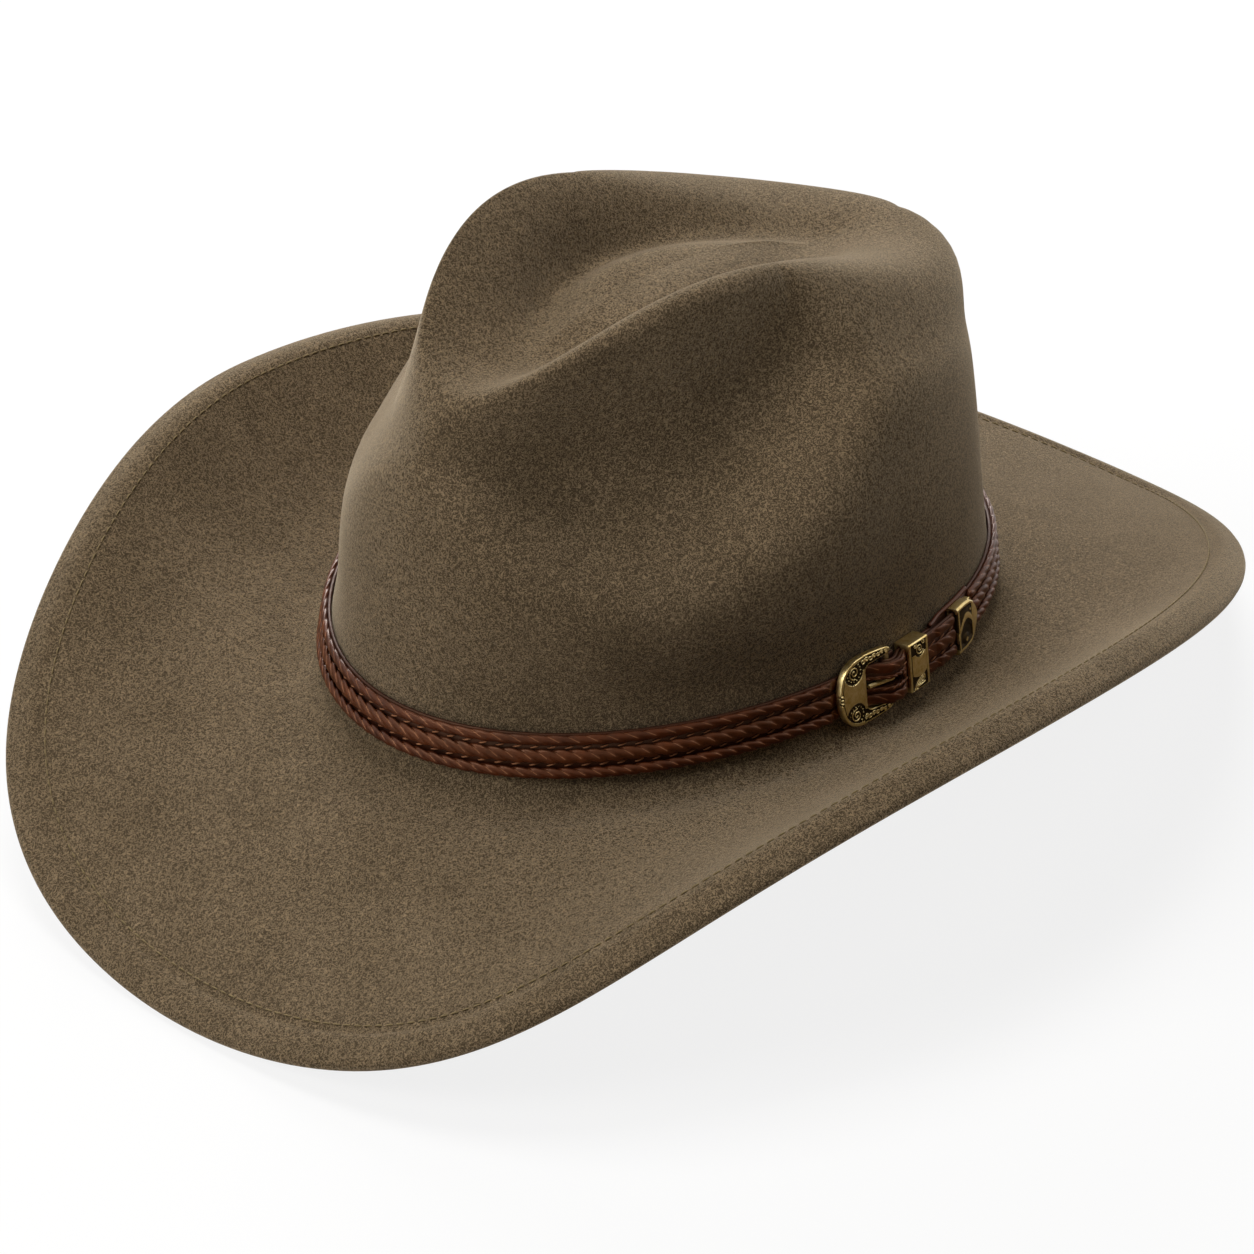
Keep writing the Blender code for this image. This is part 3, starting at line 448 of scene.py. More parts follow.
feltBody = dict(
    columns=288, steps=(5, 6, 7, 7, 8, 8, 12, 12, 8, 5, 5, 7, 6, 7, 7, 7, 9),
    seamDepth=0.0004, seamReach=0.22, sunkShares=(0.0, 0.45, 1.0), hemPuff=0.0006, puffReach=1.1,
    hemShares=(0.06, 0.14, 0.26, 0.42, 0.60, 0.80), lipSteps=9,
    lowShares=(0.75, 0.50, 0.30, 0.14, 0.05), lowPuff=0.6, lowSeamReach=0.14, lowTuck=0.5,
    ground="#463a2a", groundPale="#504332", fibre="#8c775a", fibrePale="#9a8466", sheenTint="#dccbb0",
    fibreLength=1.7 * mm, fibreWidth=0.31 * mm, bend=0.8 * mm, bendScale=1.6 * mm, relief=0.16 * mm,
    strokeFrom=0.62, strokeTo=0.78, layOffset=(0.37, 0.11, 0.23),
    driftSize=0.022, driftFrom=0.30, driftTo=0.72,
)


def driftRamp(tree, drift, low, high):
    ramp = addNode(tree, "ShaderNodeValToRGB", {}, {"Fac": drift})
    for number, (position, hexValue) in enumerate(((feltBody["driftFrom"], low), (feltBody["driftTo"], high))):
        ramp.color_ramp.elements[number].position = position
        ramp.color_ramp.elements[number].color = hexColour(hexValue)
    return ramp


def feltMaterial():
    # wool felt, fulled and blocked, its nap left standing: pale fibres lie every way over a darker ground, so the
    # colour breaks into short bent strokes, a little coarser than real wool so that they show, without a shine
    f = feltBody
    made, tree, shader = newMaterial("wool felt, fulled and napped", {
        "Roughness": 0.92, "Specular IOR Level": 0.10, "Sheen Weight": 0.75, "Sheen Roughness": 0.32,
        "Sheen Tint": hexColour(f["sheenTint"])})
    place = objectPlace(tree)
    bend = noiseOf(tree, place, f["bendScale"], detail=1.0)
    middle = {"operation": "SUBTRACT", 1: (0.5, 0.5, 0.5)}
    centred = addNode(tree, "ShaderNodeVectorMath", middle, {0: bend.outputs["Color"]})
    swing = addNode(tree, "ShaderNodeVectorMath", {"operation": "SCALE", "Scale": 2 * f["bend"]}, {0: centred})
    bent = addNode(tree, "ShaderNodeVectorMath", {"operation": "ADD"}, {0: place, 1: swing})
    # strokes along six directions spread evenly over a sphere
    golden = (1 + math.sqrt(5)) / 2
    axes = [(0, 1, golden), (0, 1, -golden), (1, golden, 0), (-1, golden, 0), (golden, 0, 1), (golden, 0, -1)]
    limits = {"interpolation_type": "SMOOTHSTEP", "From Min": f["strokeFrom"], "From Max": f["strokeTo"]}
    fibres = None
    for number, axis in enumerate(axes):
        tilt = Vector((1, 0, 0)).rotation_difference(Vector(axis)).to_euler()
        cell = addNode(tree, "ShaderNodeMapping", {
            "vector_type": "TEXTURE", "Rotation": tilt, "Location": [number * offset for offset in f["layOffset"]],
            "Scale": (f["fibreLength"], f["fibreWidth"], f["fibreWidth"])}, {"Vector": bent})
        stroke = rescaled(tree, noiseOf(tree, cell, size=1.0, detail=0.0), limits)
        fibres = stroke if fibres is None else largerOf(tree, fibres, stroke)
    # slow drift of the dye and of how the nap lies
    drift = noiseOf(tree, place, f["driftSize"], detail=3.0, roughness=0.6)
    body = driftRamp(tree, drift, f["ground"], f["groundPale"])
    pale = driftRamp(tree, drift, f["fibre"], f["fibrePale"])
    colour = addNode(tree, "ShaderNodeMix", {"data_type": "RGBA"}, {0: fibres, 6: body, 7: pale})
    giveSurface(tree, shader, colour.outputs[2], fibres, strength=0.7, depth=f["relief"])
    return made


def hemNormals(phi):
    return unit(np.cross(brimEdge(phi) - stitchLine(phi), edgeRun(phi)))


def feltSection(phi):
    # closed rows: over the top, down into the seam, over the puffed hem, round the lip and back underneath
    f = feltBody
    upper = feltRows(phi, f["steps"])
    normal = surfaceNormals(upper)
    lower = upper - normal * crown["felt"]
    seam = upper[-1]
    across = brimEdge(phi) - seam
    width = np.linalg.norm(across, axis=-1, keepdims=True)
    outer, raised = across / width, hemNormals(phi)
    half = brim["welt"] / 2
    flat = width - half
    last = zip(upper[-3:], normal[-3:], f["sunkShares"])
    sunk = [row - n * (f["seamDepth"] * share) for row, n, share in last]
    hemTop, lip, hemLow = [], [], []
    for t in f["hemShares"]:
        sunkBy = f["seamDepth"] * (1 - ease(np.array(t / f["seamReach"])))
        rise = f["hemPuff"] * math.sin(math.pi * min(t * f["puffReach"], 1.0)) - sunkBy
        hemTop.append(seam + outer * flat * t + raised * rise)
    for angle in np.linspace(math.pi / 2, -math.pi / 2, f["lipSteps"]):
        lip.append(seam + outer * (flat + half * math.cos(angle)) + raised * (half * math.sin(angle) - half))
    for t in f["lowShares"]:
        drop = brim["welt"] + f["hemPuff"] * f["lowPuff"] * math.sin(math.pi * t)
        tuck = f["lowTuck"] * f["hemPuff"] * ease(np.array(1 - t / f["lowSeamReach"]))
        hemLow.append(seam + outer * flat * t - raised * (drop - tuck))
    seamLow = seam - raised * (crown["felt"] + f["seamDepth"])
    return [upper[0][:1], *upper[1:-3], *sunk, *hemTop, *lip, *hemLow, seamLow, *lower[1:-1][::-1], lower[0][:1]]


def makeFelt():
    rows = feltSection(turns(feltBody["columns"]))
    bm = skinRows(bmesh.new(), [row + hatSeat for row in rows])
    piece = addPiece("blockedFelt", bm, feltMaterial(), "hat")
    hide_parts("felt_body")
    print("felt body:", len(piece.data.polygons), "faces")
    return piece


# Welt stitching

weltStitches = dict(
    pitch=3.3 * mm, length=2.3 * mm, radius=0.25 * mm, colour="#85734f",
    columns=1440, lastSteps=6, lineShare=0.35,
)
stitchForm = dict(
    rows=7, sides=6, thinnest=0.25, start=0.12, stop=0.88, fullness=0.6, sit=0.5, plunge=4,
    layWidth=0.35 * mm, layDark=0.72, layPale=1.18,
)


def threadMaterial(name, hexValue):
    # spun polyester thread, twisted: dull, with a faint oblique lay
    f = stitchForm
    made, tree, shader = newMaterial(name, {"Roughness": 0.72, "Specular IOR Level": 0.3})
    lay = noiseOf(tree, objectPlace(tree), f["layWidth"], detail=2.0)
    shade = rescaled(tree, lay, {"To Min": f["layDark"], "To Max": f["layPale"]})
    settings = {"data_type": "RGBA", "blend_type": "MULTIPLY", 0: 1.0, 6: hexColour(hexValue)}
    tint = addNode(tree, "ShaderNodeMix", settings, {7: shade})
    tree.links.new(tint.outputs[2], shader.inputs["Base Color"])
    return made


def addStitch(bm, start, end, rise, radius):
    # one thread: a bent capsule that leaves the cloth, arches a little and goes back in
    f = stitchForm
    across = unit(np.cross(unit(end - start), rise))
    rows = []
    for t in np.linspace(0, 1, f["rows"]):
        swell = max(f["thinnest"], math.sin(math.pi * mix(f["start"], f["stop"], t)) ** f["fullness"])
        centre = mix(start, end, t) + rise * (radius * f["sit"] - radius * (2 * t - 1) ** f["plunge"])
        rows.append([centre + (across * math.cos(a) + rise * math.sin(a)) * radius * swell
                     for a in fullTurn(f["sides"])])
    skinRows(bm, rows, capped=True)


def makeWeltStitches():
    w = weltStitches
    phi = np.sort(turns(w["columns"]))
    upper = feltRows(phi, (1,) * (spans - 1) + (w["lastSteps"],))
    inner, seam = upper[-3], upper[-1]
    raised = hemNormals(phi)
    bm = bmesh.new()
    for line, rise in ((mix(seam, inner, w["lineShare"]), raised), (seam - raised * brim["welt"], -raised)):
        line, rise = closedPath(line), closedPath(rise)
        run = runOf(line)
        count = int(run[-1] / w["pitch"])
        for s in np.arange(count) * run[-1] / count:
            start, end = (pointAt(line, run, (s + d) % run[-1]) + hatSeat for d in (0.0, w["length"]))
            addStitch(bm, start, end, unit(pointAt(rise, run, s)), w["radius"])
    piece = addPiece("weltStitches", bm, threadMaterial("spun welt thread", w["colour"]), "hat")
    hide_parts("welt_thread")
    print("welt stitches:", len(piece.data.polygons), "faces")


# Hatband: distance along the band (s) from the buckle's bar, out from the felt (n), up the band (u)

class BandSeat:
    def __init__(self):
        phi = np.linspace(0, 2 * math.pi, band["columns"] + 1)
        signed = np.where(phi > math.pi, phi - 2 * math.pi, phi)[:-1]
        self.low = wallLoop(signed, band["seat"], 0.0) + hatSeat
        self.high = wallLoop(signed, band["seat"] + band["width"], 0.0) + hatSeat
        self.run = runOf(closedPath((self.low + self.high) / 2))
        self.length = self.run[-1]
        self.start = np.interp(band["barAngle"], phi, self.run)

    def sample(self, loop, s):
        return pointAt(closedPath(loop), self.run, (np.asarray(s) + self.start) % self.length)

    def axes(self, s):
        step = band["axisStep"]
        low, high = self.sample(self.low, s), self.sample(self.high, s)
        along = unit(self.sample(self.low, s + step) - self.sample(self.low, s - step))
        out = unit(np.cross(along, unit(high - low)))
        return along, unit(np.cross(out, along)), out

    def place(self, s, n, u):
        s, n, u = np.broadcast_arrays(np.asarray(s, float), n, u)
        share = (u / band["width"] + 0.5)[..., None]
        return mix(self.sample(self.low, s), self.sample(self.high, s), share) + self.axes(s)[2] * n[..., None]

    def frame(self, s0, n0, s1, n1):
        # rigid frame with its origin at (s1, n1): x along the strap, y up the band, z outward
        a, b = self.place(s0, n0, 0.0), self.place(s1, n1, 0.0)
        x = unit(b - a)
        z = unit(np.cross(x, self.axes((s0 + s1) / 2)[1]))
        return x, np.cross(z, x), z, b


bandSeat = BandSeat()

buckle = dict(
    barRadius=0.8 * mm, prongRadius=0.65 * mm, slideGap=0.4 * mm, frameThickness=1.8 * mm,
    framePlate=10.4 * mm, frameWindow=8.6 * mm, frameClear=1.0 * mm,
    keeperStart=6.2 * mm, keeperLength=8.5 * mm, keeperTravel=5.0 * mm, keeperWall=0.8 * mm,
    keeperFace=1.0 * mm, keeperRelief=0.8 * mm, keeperClear=0.4 * mm,
    tipStart=30.5 * mm, tipLength=13.0 * mm, tipSocket=8.5 * mm, tipBack=0.7 * mm, tipFace=0.9 * mm,
    tipSide=0.6 * mm, tipGap=0.5 * mm, plateGap=1.0 * mm,
    ramp=8.5 * mm, tab=4.2 * mm, slotReach=7.2 * mm, slotBack=2.9 * mm,
)

gap, strap = band["gap"], band["strap"]
levelBase = gap + strap / 2
levelBar = gap + max(strap, 2 * buckle["prongRadius"]) + gap + buckle["barRadius"]
foldRadius = buckle["barRadius"] + gap + strap / 2
levelFoldTop = levelBar + foldRadius
levelTailBar = levelFoldTop + strap + gap
levelUnderKeeper = buckle["keeperClear"] + buckle["keeperWall"] + buckle["slideGap"] + strap / 2
levelTail = levelUnderKeeper + strap + gap
levelPlate = levelBase + strap / 2 + buckle["frameClear"] + buckle["frameThickness"] / 2
tipEnd = buckle["tipStart"] + buckle["tipLength"]
tailEnd = buckle["tipStart"] + buckle["tipSocket"]
keeperEnd = buckle["keeperStart"] + buckle["keeperLength"]
keeperReach = keeperEnd + buckle["keeperTravel"]
windowHalf = band["width"] / 2 + buckle["slideGap"]
tailClimb = buckle["frameWindow"] - strap
bandStart = tipEnd + buckle["tipGap"]
bandStop = bandSeat.length - buckle["frameWindow"] - buckle["framePlate"] - buckle["plateGap"]


def blendLevel(s, marks):
    level = np.full_like(s, marks[0][1])
    for (s0, n0), (s1, n1) in zip(marks, marks[1:]):
        level = np.where(s > s0, mix(n0, n1, ease((s - s0) / (s1 - s0))), level)
    return level


def tailLevel(s):
    return blendLevel(s, [(-tailClimb, levelBase), (-strap, levelTailBar), (strap, levelTailBar),
                          (buckle["keeperStart"] + strap, levelTail)])


def mainLevel(s):
    return blendLevel(s, [(strap, levelFoldTop), (buckle["keeperStart"], levelUnderKeeper),
                          (keeperReach, levelUnderKeeper), (keeperReach + buckle["ramp"], levelBase)])


lacedBand = dict(
    # the strap leather is darker than the lacing: partly its own colour, partly painted shade for the channels
    # between the cords
    leather="#35170b", dark="#1e0b05", lace="#5e2f17", laceDark="#391909", edge="#562812", edgeDark="#34150a",
    # pale leather colours for a painted highlight: the faces of each strand that look up and outward, and the lace's
    # crossings
    paintedHighlight="#a5714f", paintedHighlightDark="#75482e", shine="#e8b592",
    dyeSize=5 * mm, dyeFrom=0.32, dyeTo=0.68, creaseShare=0.12, creaseDepth=0.08 * mm,
    upperRoll=dict(u=4.70 * mm, plies=3, plyRadius=1.14 * mm, plyOffset=0.42 * mm, lay=15.6 * mm, squash=0.62),
    plait=dict(u=0.05 * mm, plies=3, plyRadius=1.26 * mm, plyOffset=0.84 * mm, lay=13.5 * mm, squash=0.50),
    partedUpper=dict(u=1.78 * mm, plies=2, plyRadius=0.42 * mm, plyOffset=0.24 * mm, lay=4.1 * mm, squash=0.85),
    partedLower=dict(u=-1.78 * mm, plies=2, plyRadius=0.42 * mm, plyOffset=0.24 * mm, lay=-4.1 * mm, squash=0.85),
    lowerRoll=dict(u=-4.80 * mm, plies=3, plyRadius=1.05 * mm, plyOffset=0.60 * mm, lay=12.3 * mm, squash=0.62),
    sink=0.20 * mm, perPly=12, cordStep=0.6 * mm, cordTaper=1.2 * mm, cordEnd=0.05,
    # which face of each strand carries the painted highlight, and at which angles up and outward it shows
    highlightColumn=1, highlightLow=0.05, highlightFront=0.30,
    tickPitch=4.7 * mm, tickLength=2.6 * mm, tickRadius=0.28 * mm, tickUpper=2.55 * mm, tickLower=-2.45 * mm,
    tickSlope=0.30, tickThin=0.6, tickRise=1.1, ticksAfter=2 * mm, ticksBefore=3 * mm, tailTicks=1.5 * mm,
    tailFlat=0.60, keeperFlat=0.27, pressSoft=1.2 * mm, rollsFrom=-8.2 * mm, tipClear=0.3 * mm,
    plaitClear=0.2 * mm, partOverlap=1.2 * mm, partStep=0.3 * mm,
    underPlate=3.0 * mm, underFlat=0.30, underLead=1.0 * mm, underRun=1.9 * mm,
    peekU=6.85 * mm, peekRadius=0.70 * mm, peekRows=60, peekSides=12, peekLap=0.6 * mm, peekLift=0.2 * mm,
)

strapForm = dict(
    edge=0.25 * mm, foldSteps=13, tabShares=(1.0, 0.6, 0.3), mainStep=0.8 * mm, roundStep=2.0 * mm,
    climbStep=0.5 * mm, tailRows=12,
)


def leatherMaterial(name, base, dark, roughness, grain):
    # vegetable-tanned leather, dyed and waxed: satin, with a fine pebbled grain and dye that gathers unevenly
    b = lacedBand
    made, tree, shader = newMaterial(name, {
        "Roughness": roughness, "Specular IOR Level": 0.50, "Specular Tint": hexColour(b["shine"])})
    place = objectPlace(tree)
    dye = noiseOf(tree, place, b["dyeSize"], detail=4.0, roughness=0.65)
    shade = rescaled(tree, dye, {"From Min": b["dyeFrom"], "From Max": b["dyeTo"]})
    cells = {"feature": "DISTANCE_TO_EDGE", "Scale": 1 / grain}
    pebble = addNode(tree, "ShaderNodeTexVoronoi", cells, {"Vector": place})
    crease = rescaled(tree, pebble.outputs["Distance"], {"From Max": b["creaseShare"]})
    giveSurface(tree, shader, mixColours(tree, dark, base, shade), crease, strength=0.25, depth=b["creaseDepth"])
    return made


def cordHeight(spec):
    return (spec["plyRadius"] + spec["plyOffset"]) * spec["squash"]


def laidCord(bm, s0, s1, face, spec, flatten, step=lacedBand["cordStep"]):
    # leather strands laid round each other; the section turns with the lay, so its creases follow the strands, and
    # so does a painted highlight: the faces on the upper, outward side of each strand take the pale second material
    b, firstFace = lacedBand, len(bm.faces)
    perPly, plies, radius, offset = b["perPly"], spec["plies"], spec["plyRadius"], spec["plyOffset"]
    count = max(2, int((s1 - s0) / step))
    s = np.linspace(s0, s1, count + 1)
    up, out = bandSeat.axes(s)[1:]
    local = (np.arange(perPly) + 0.5) / perPly * (2 * math.pi / plies) - math.pi / plies
    local = np.tile(local, plies)
    section = np.repeat(fullTurn(plies), perPly) + local
    reach = offset * np.cos(local) + np.sqrt(radius ** 2 - (offset * np.sin(local)) ** 2)
    flat = flatten(s)
    centre = bandSeat.place(s, face(s) + (cordHeight(spec) - b["sink"]) * flat, spec["u"])
    taper = np.sqrt(np.clip(np.minimum(s - s0, s1 - s) / b["cordTaper"], b["cordEnd"], 1.0))
    twist = 2 * math.pi * s / spec["lay"]
    rows = []
    for i in range(count + 1):
        angle = section + twist[i]
        flatOut = (reach * np.sin(angle) * spec["squash"] * taper[i] * flat[i])[:, None]
        flatUp = (reach * np.cos(angle) * taper[i])[:, None]
        rows.append(centre[i] + out[i] * flatOut + up[i] * flatUp)
    skinRows(bm, rows, capped=True)
    bm.faces.ensure_lookup_table()
    # painted highlight: on each strand, the faces that look up and outward take the pale second material
    highlightColumns = b["highlightColumn"] + perPly * np.arange(plies)
    for i in range(count):
        angle = section[highlightColumns] + twist[i]
        shows = (np.cos(angle) > b["highlightLow"]) & (np.sin(angle) > b["highlightFront"])
        for column in highlightColumns[shows]:
            bm.faces[firstFace + i * plies * perPly + int(column)].material_index = 1


def addTicks(bm, s0, s1, face, flatten):
    # the lace's short crossings, sunk in the channels beside the plait
    b = lacedBand
    for u in (b["tickUpper"], b["tickLower"]):
        for s in np.arange(s0, s1, b["tickPitch"]):
            at = np.array([s])
            along, up, out = (v[0] for v in bandSeat.axes(at))
            radius = b["tickRadius"] * float(mix(b["tickThin"], 1.0, flatten(at)[0]))
            middle = bandSeat.place(at, face(at) + radius * b["tickRise"], u)[0]
            reach = unit(along + up * b["tickSlope"]) * b["tickLength"] / 2
            addStitch(bm, middle - reach, middle + reach, out, radius)


def makeStrap(material):
    # strap from the folded tab, round the bar, round the crown, to the tail under the tip
    f = strapForm
    half, thick, soft = band["width"] / 2, strap / 2, f["edge"]
    turn = np.linspace(-math.pi / 2, math.pi / 2, f["foldSteps"])
    tab = [(buckle["tab"] * share, levelBar - foldRadius) for share in f["tabShares"]]
    fold = [(-foldRadius * math.cos(a), levelBar + foldRadius * math.sin(a)) for a in turn]
    rampEnd = keeperReach + buckle["ramp"]
    main = np.arange(strap, rampEnd, f["mainStep"])
    around = np.arange(rampEnd + strap, bandSeat.length - tailClimb - strap, f["roundStep"])
    climb = np.arange(-tailClimb, buckle["keeperStart"] + strap, f["climbStep"])
    end = np.concatenate([climb, np.linspace(keeperEnd, tailEnd, f["tailRows"])])
    path = np.array(tab + fold + list(zip(main, mainLevel(main))) + [(s, levelBase) for s in around]
                    + list(zip(end + bandSeat.length, tailLevel(end))))
    way = unit(np.gradient(path, axis=0))
    normal = np.stack([-way[:, 1], way[:, 0]], -1)
    section = [(-thick, -half + soft), (-thick, half - soft), (-thick + soft, half), (thick - soft, half),
               (thick, half - soft), (thick, -half + soft), (thick - soft, -half), (-thick + soft, -half)]
    sides = [bandSeat.place(path[:, 0] + normal[:, 0] * n, path[:, 1] + normal[:, 1] * n, u) for n, u in section]
    bm = skinRows(bmesh.new(), np.stack(sides, axis=1), capped=True)
    piece = addPiece("leatherStrap", bm, material, "hatband", smoothAngle=50)
    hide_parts("hatband_strap")
    # the prong's slot through the tail and the fold
    slot = buckle["prongRadius"] + buckle["slideGap"]
    x, y, z, origin = bandSeat.frame(-buckle["frameWindow"], levelBar, 0.0, levelBar)
    low = np.array([-buckle["slotReach"], -slot, -foldRadius - strap])
    high = np.array([buckle["slotBack"], slot, levelTailBar + strap])
    bm = bmesh.new()
    bmesh.ops.create_cube(bm, size=1.0)
    for v in bm.verts:
        p = mix(low, high, np.array(v.co) + 0.5)
        v.co = Vector(origin + x * p[0] + y * p[1] + z * p[2])
    cutterMesh = bpy.data.meshes.new("prongSlot")
    bmesh.ops.recalc_face_normals(bm, faces=bm.faces)
    bm.to_mesh(cutterMesh)
    bm.free()
    cutter = addObject("prongSlot", cutterMesh)
    step = piece.modifiers.new("prongSlot", "BOOLEAN")
    step.operation, step.solver, step.object = "DIFFERENCE", "EXACT", cutter
    cutMesh = bpy.data.meshes.new_from_object(piece.evaluated_get(bpy.context.evaluated_depsgraph_get()))
    piece.modifiers.clear()
    piece.data = cutMesh
    bpy.data.objects.remove(cutter, do_unlink=True)


def makeLacedBand():
    b = lacedBand
    # dark strap: partly its own colour, partly painted shade where it shows in the channels between the cords
    strapLeather = leatherMaterial(
        "strap leather, dyed and waxed", b["leather"], b["dark"], roughness=0.46, grain=0.7 * mm)
    edgeLeather = leatherMaterial(
        "rolled edge leather, dyed and waxed", b["edge"], b["edgeDark"], roughness=0.34, grain=0.6 * mm)
    laceLeather = leatherMaterial(
        "lacing leather, dyed and waxed", b["lace"], b["laceDark"], roughness=0.36, grain=0.6 * mm)
    # pale leather, a painted highlight on the strands' upper, outward faces and on the crossings
    paintedHighlightLeather = leatherMaterial(
        "lacing leather, pale for a painted highlight", b["paintedHighlight"], b["paintedHighlightDark"], roughness=0.34, grain=0.5 * mm)
    makeStrap(strapLeather)

    def bandFace(s):
        return np.full_like(s, levelBase + strap / 2)

    def tailFace(s):
        return tailLevel(s) + strap / 2

    def tailFlat(s):
        # pressed flat where the keeper slides over it
        soft = b["pressSoft"]
        starts = ease((s - buckle["keeperStart"] + 1.5 * soft) / soft)
        ends = ease((s - keeperReach - 0.5 * soft) / soft)
        return mix(b["tailFlat"], b["keeperFlat"], starts * (1 - ends))

    def bandFlat(s):
        # pressed flat where the band goes under the buckle's plate
        return mix(1.0, b["underFlat"], ease((s - bandStop + b["underLead"]) / b["underRun"]))

    rows = (
        ("upperRoll", b["upperRoll"], edgeLeather, "edge_leather", "hatband_edge_upper"),
        ("centrePlait", b["plait"], laceLeather, "lace_leather", "hatband_lacing"),
        ("lowerRoll", b["lowerRoll"], edgeLeather, "edge_leather", "hatband_edge_lower"),
    )
    tailEndCord, plaitFrom = buckle["tipStart"] - b["tipClear"], buckle["slotBack"] + b["plaitClear"]
    for name, spec, material, slotName, node in rows:
        bm = bmesh.new()
        laidCord(bm, bandStart, bandStop + b["underPlate"], bandFace, spec, bandFlat)
        laidCord(bm, plaitFrom if spec is b["plait"] else b["rollsFrom"], tailEndCord, tailFace, spec, tailFlat)
        if spec is b["plait"]:
            # parted round the prong's slot
            partEnd = plaitFrom + b["partOverlap"]
            for strand in (b["partedUpper"], b["partedLower"]):
                laidCord(bm, b["rollsFrom"], partEnd, tailFace, strand, np.ones_like, b["partStep"])
        # second material: the pale leather of the painted highlight on the strands' upper faces
        piece = addPiece(name, bm, (material, paintedHighlightLeather), "hatband")
        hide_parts(node)
    bm = bmesh.new()
    addTicks(bm, bandStart + b["ticksAfter"], bandStop - b["ticksBefore"], bandFace, np.ones_like)
    addTicks(bm, plaitFrom + b["tailTicks"], tailEndCord - b["tailTicks"], tailFace, tailFlat)
    # the crossings are all in the pale leather: a painted highlight
    addPiece("lacingCrossings", bm, paintedHighlightLeather, "hatband")
    # edge of the buckle-end strap, showing above the tail
    s = np.linspace(keeperReach + b["peekLap"], bandStart + b["peekLap"], b["peekRows"])
    up, out = bandSeat.axes(s)[1:]
    centre = bandSeat.place(s, mainLevel(s) + b["peekLift"], np.full_like(s, b["peekU"]))
    rows = [[c + (o * math.sin(a) + u * math.cos(a)) * b["peekRadius"] for a in fullTurn(b["peekSides"])]
            for c, o, u in zip(centre, out, up)]
    addPiece("innerStrapEdge", skinRows(bmesh.new(), rows, capped=True), edgeLeather, "hatband")
    print("laced band: length", round(bandSeat.length / mm, 1), "mm")


# Buckle set

brassWork = dict(
    polish="#c8a962", worn="#ecd8a0", recess="#1b140b", recessPale="#3a2c18",
    recessDepth=0.10 * mm, lineWidth=0.17 * mm, lineDepth=0.30 * mm, lineGap=0.15 * mm, lineSlope=0.7,
    ground=0.36 * mm, edgeRound=0.30 * mm, cornerSteps=6, spiralSteps=40, spiralLeast=12,
    brushSize=(0.10 * mm, 0.10 * mm, 2.0 * mm), brushShare=0.45, brushDepth=0.02 * mm,
    stainSize=1.8 * mm, stainFrom=0.48, stainTo=0.92, dullBy=0.10, brightBy=0.06,
)


def brassMaterial(name, low, high, roughness):
    # cast brass, brushed and antiqued: fine upright brush lines break up the shine, and a dark patina stays
    # in the sunk work
    w = brassWork
    made, tree, shader = newMaterial(name, {"Metallic": 1.0, "Roughness": roughness})
    place = objectPlace(tree)
    brush = streaksOf(tree, place, w["brushSize"])
    stain = noiseOf(tree, place, w["stainSize"], detail=4.0, roughness=0.65)
    settings = {"operation": "MULTIPLY_ADD", 1: w["brushShare"]}
    both = addNode(tree, "ShaderNodeMath", settings, {0: brush, 2: stain})
    shade = rescaled(tree, both, {"From Min": w["stainFrom"], "From Max": w["stainTo"]})
    giveSurface(tree, shader, mixColours(tree, low, high, shade), brush, strength=0.25, depth=w["brushDepth"])
    dull = rescaled(tree, stain, {"To Min": roughness + w["dullBy"], "To Max": roughness - w["brightBy"]})
    tree.links.new(dull.outputs[0], shader.inputs["Roughness"])
    return made


def openCurve(points, steps):
    # smooth curve through points, with steps to a span
    p = np.array(points, float)
    ends = np.vstack([2 * p[0] - p[1], p, 2 * p[-1] - p[-2]])
    t = (np.arange(steps) / steps)[:, None]
    out = []
    for a, b, c, d in zip(ends, ends[1:], ends[2:], ends[3:]):
        square, cube = 2 * a - 5 * b + 4 * c - d, 3 * b - a - 3 * c + d
        out.append(0.5 * (2 * b + (c - a) * t + square * t ** 2 + cube * t ** 3))
    return np.vstack(out + [p[-1:]])


def spiral(centre, inner, outer, turn, start):
    count = int(brassWork["spiralSteps"] * abs(turn)) + brassWork["spiralLeast"]
    t = np.linspace(0, 1, count)[:, None]
    angle = start + 2 * math.pi * turn * t
    return np.array(centre) + mix(inner, outer, t) * np.hstack([np.cos(angle), np.sin(angle)])


def nearness(points, path):
    # distance from each point to a closely stepped path
    flat = points.reshape(-1, 1, 2)
    return np.sqrt(((flat - path[None]) ** 2).sum(-1).min(1)).reshape(points.shape[:-1])


def strokes(points, paths, width):
    # rounded raised strokes, 1 at their crown
    d = np.min([nearness(points, path) for path in paths], axis=0)
    return np.sqrt(np.clip(1 - (d / width) ** 2, 0, 1))


def cutLine(distance):
    # incised line: 1 at its bottom
    return np.clip(1 - np.abs(distance) / brassWork["lineWidth"], 0, 1) ** brassWork["lineSlope"]


def roundedEdge(distance):
    # how far the face drops towards its rounded edge
    radius = brassWork["edgeRound"]
    edge = np.clip(radius - distance, 0, None)
    return radius - np.sqrt(np.clip(radius ** 2 - edge ** 2, 0, None))


def darkenLow(bm, depths):
    # faces in the sunk work take the second material
    bm.verts.index_update()
    for face in bm.faces:
        if np.mean([depths[v.index] for v in face.verts]) < -brassWork["recessDepth"]:
            face.material_index = 1


def placed(points, axes):
    x, y, z, origin = axes
    return origin + points[..., :1] * x + points[..., 1:2] * y + points[..., 2:] * z


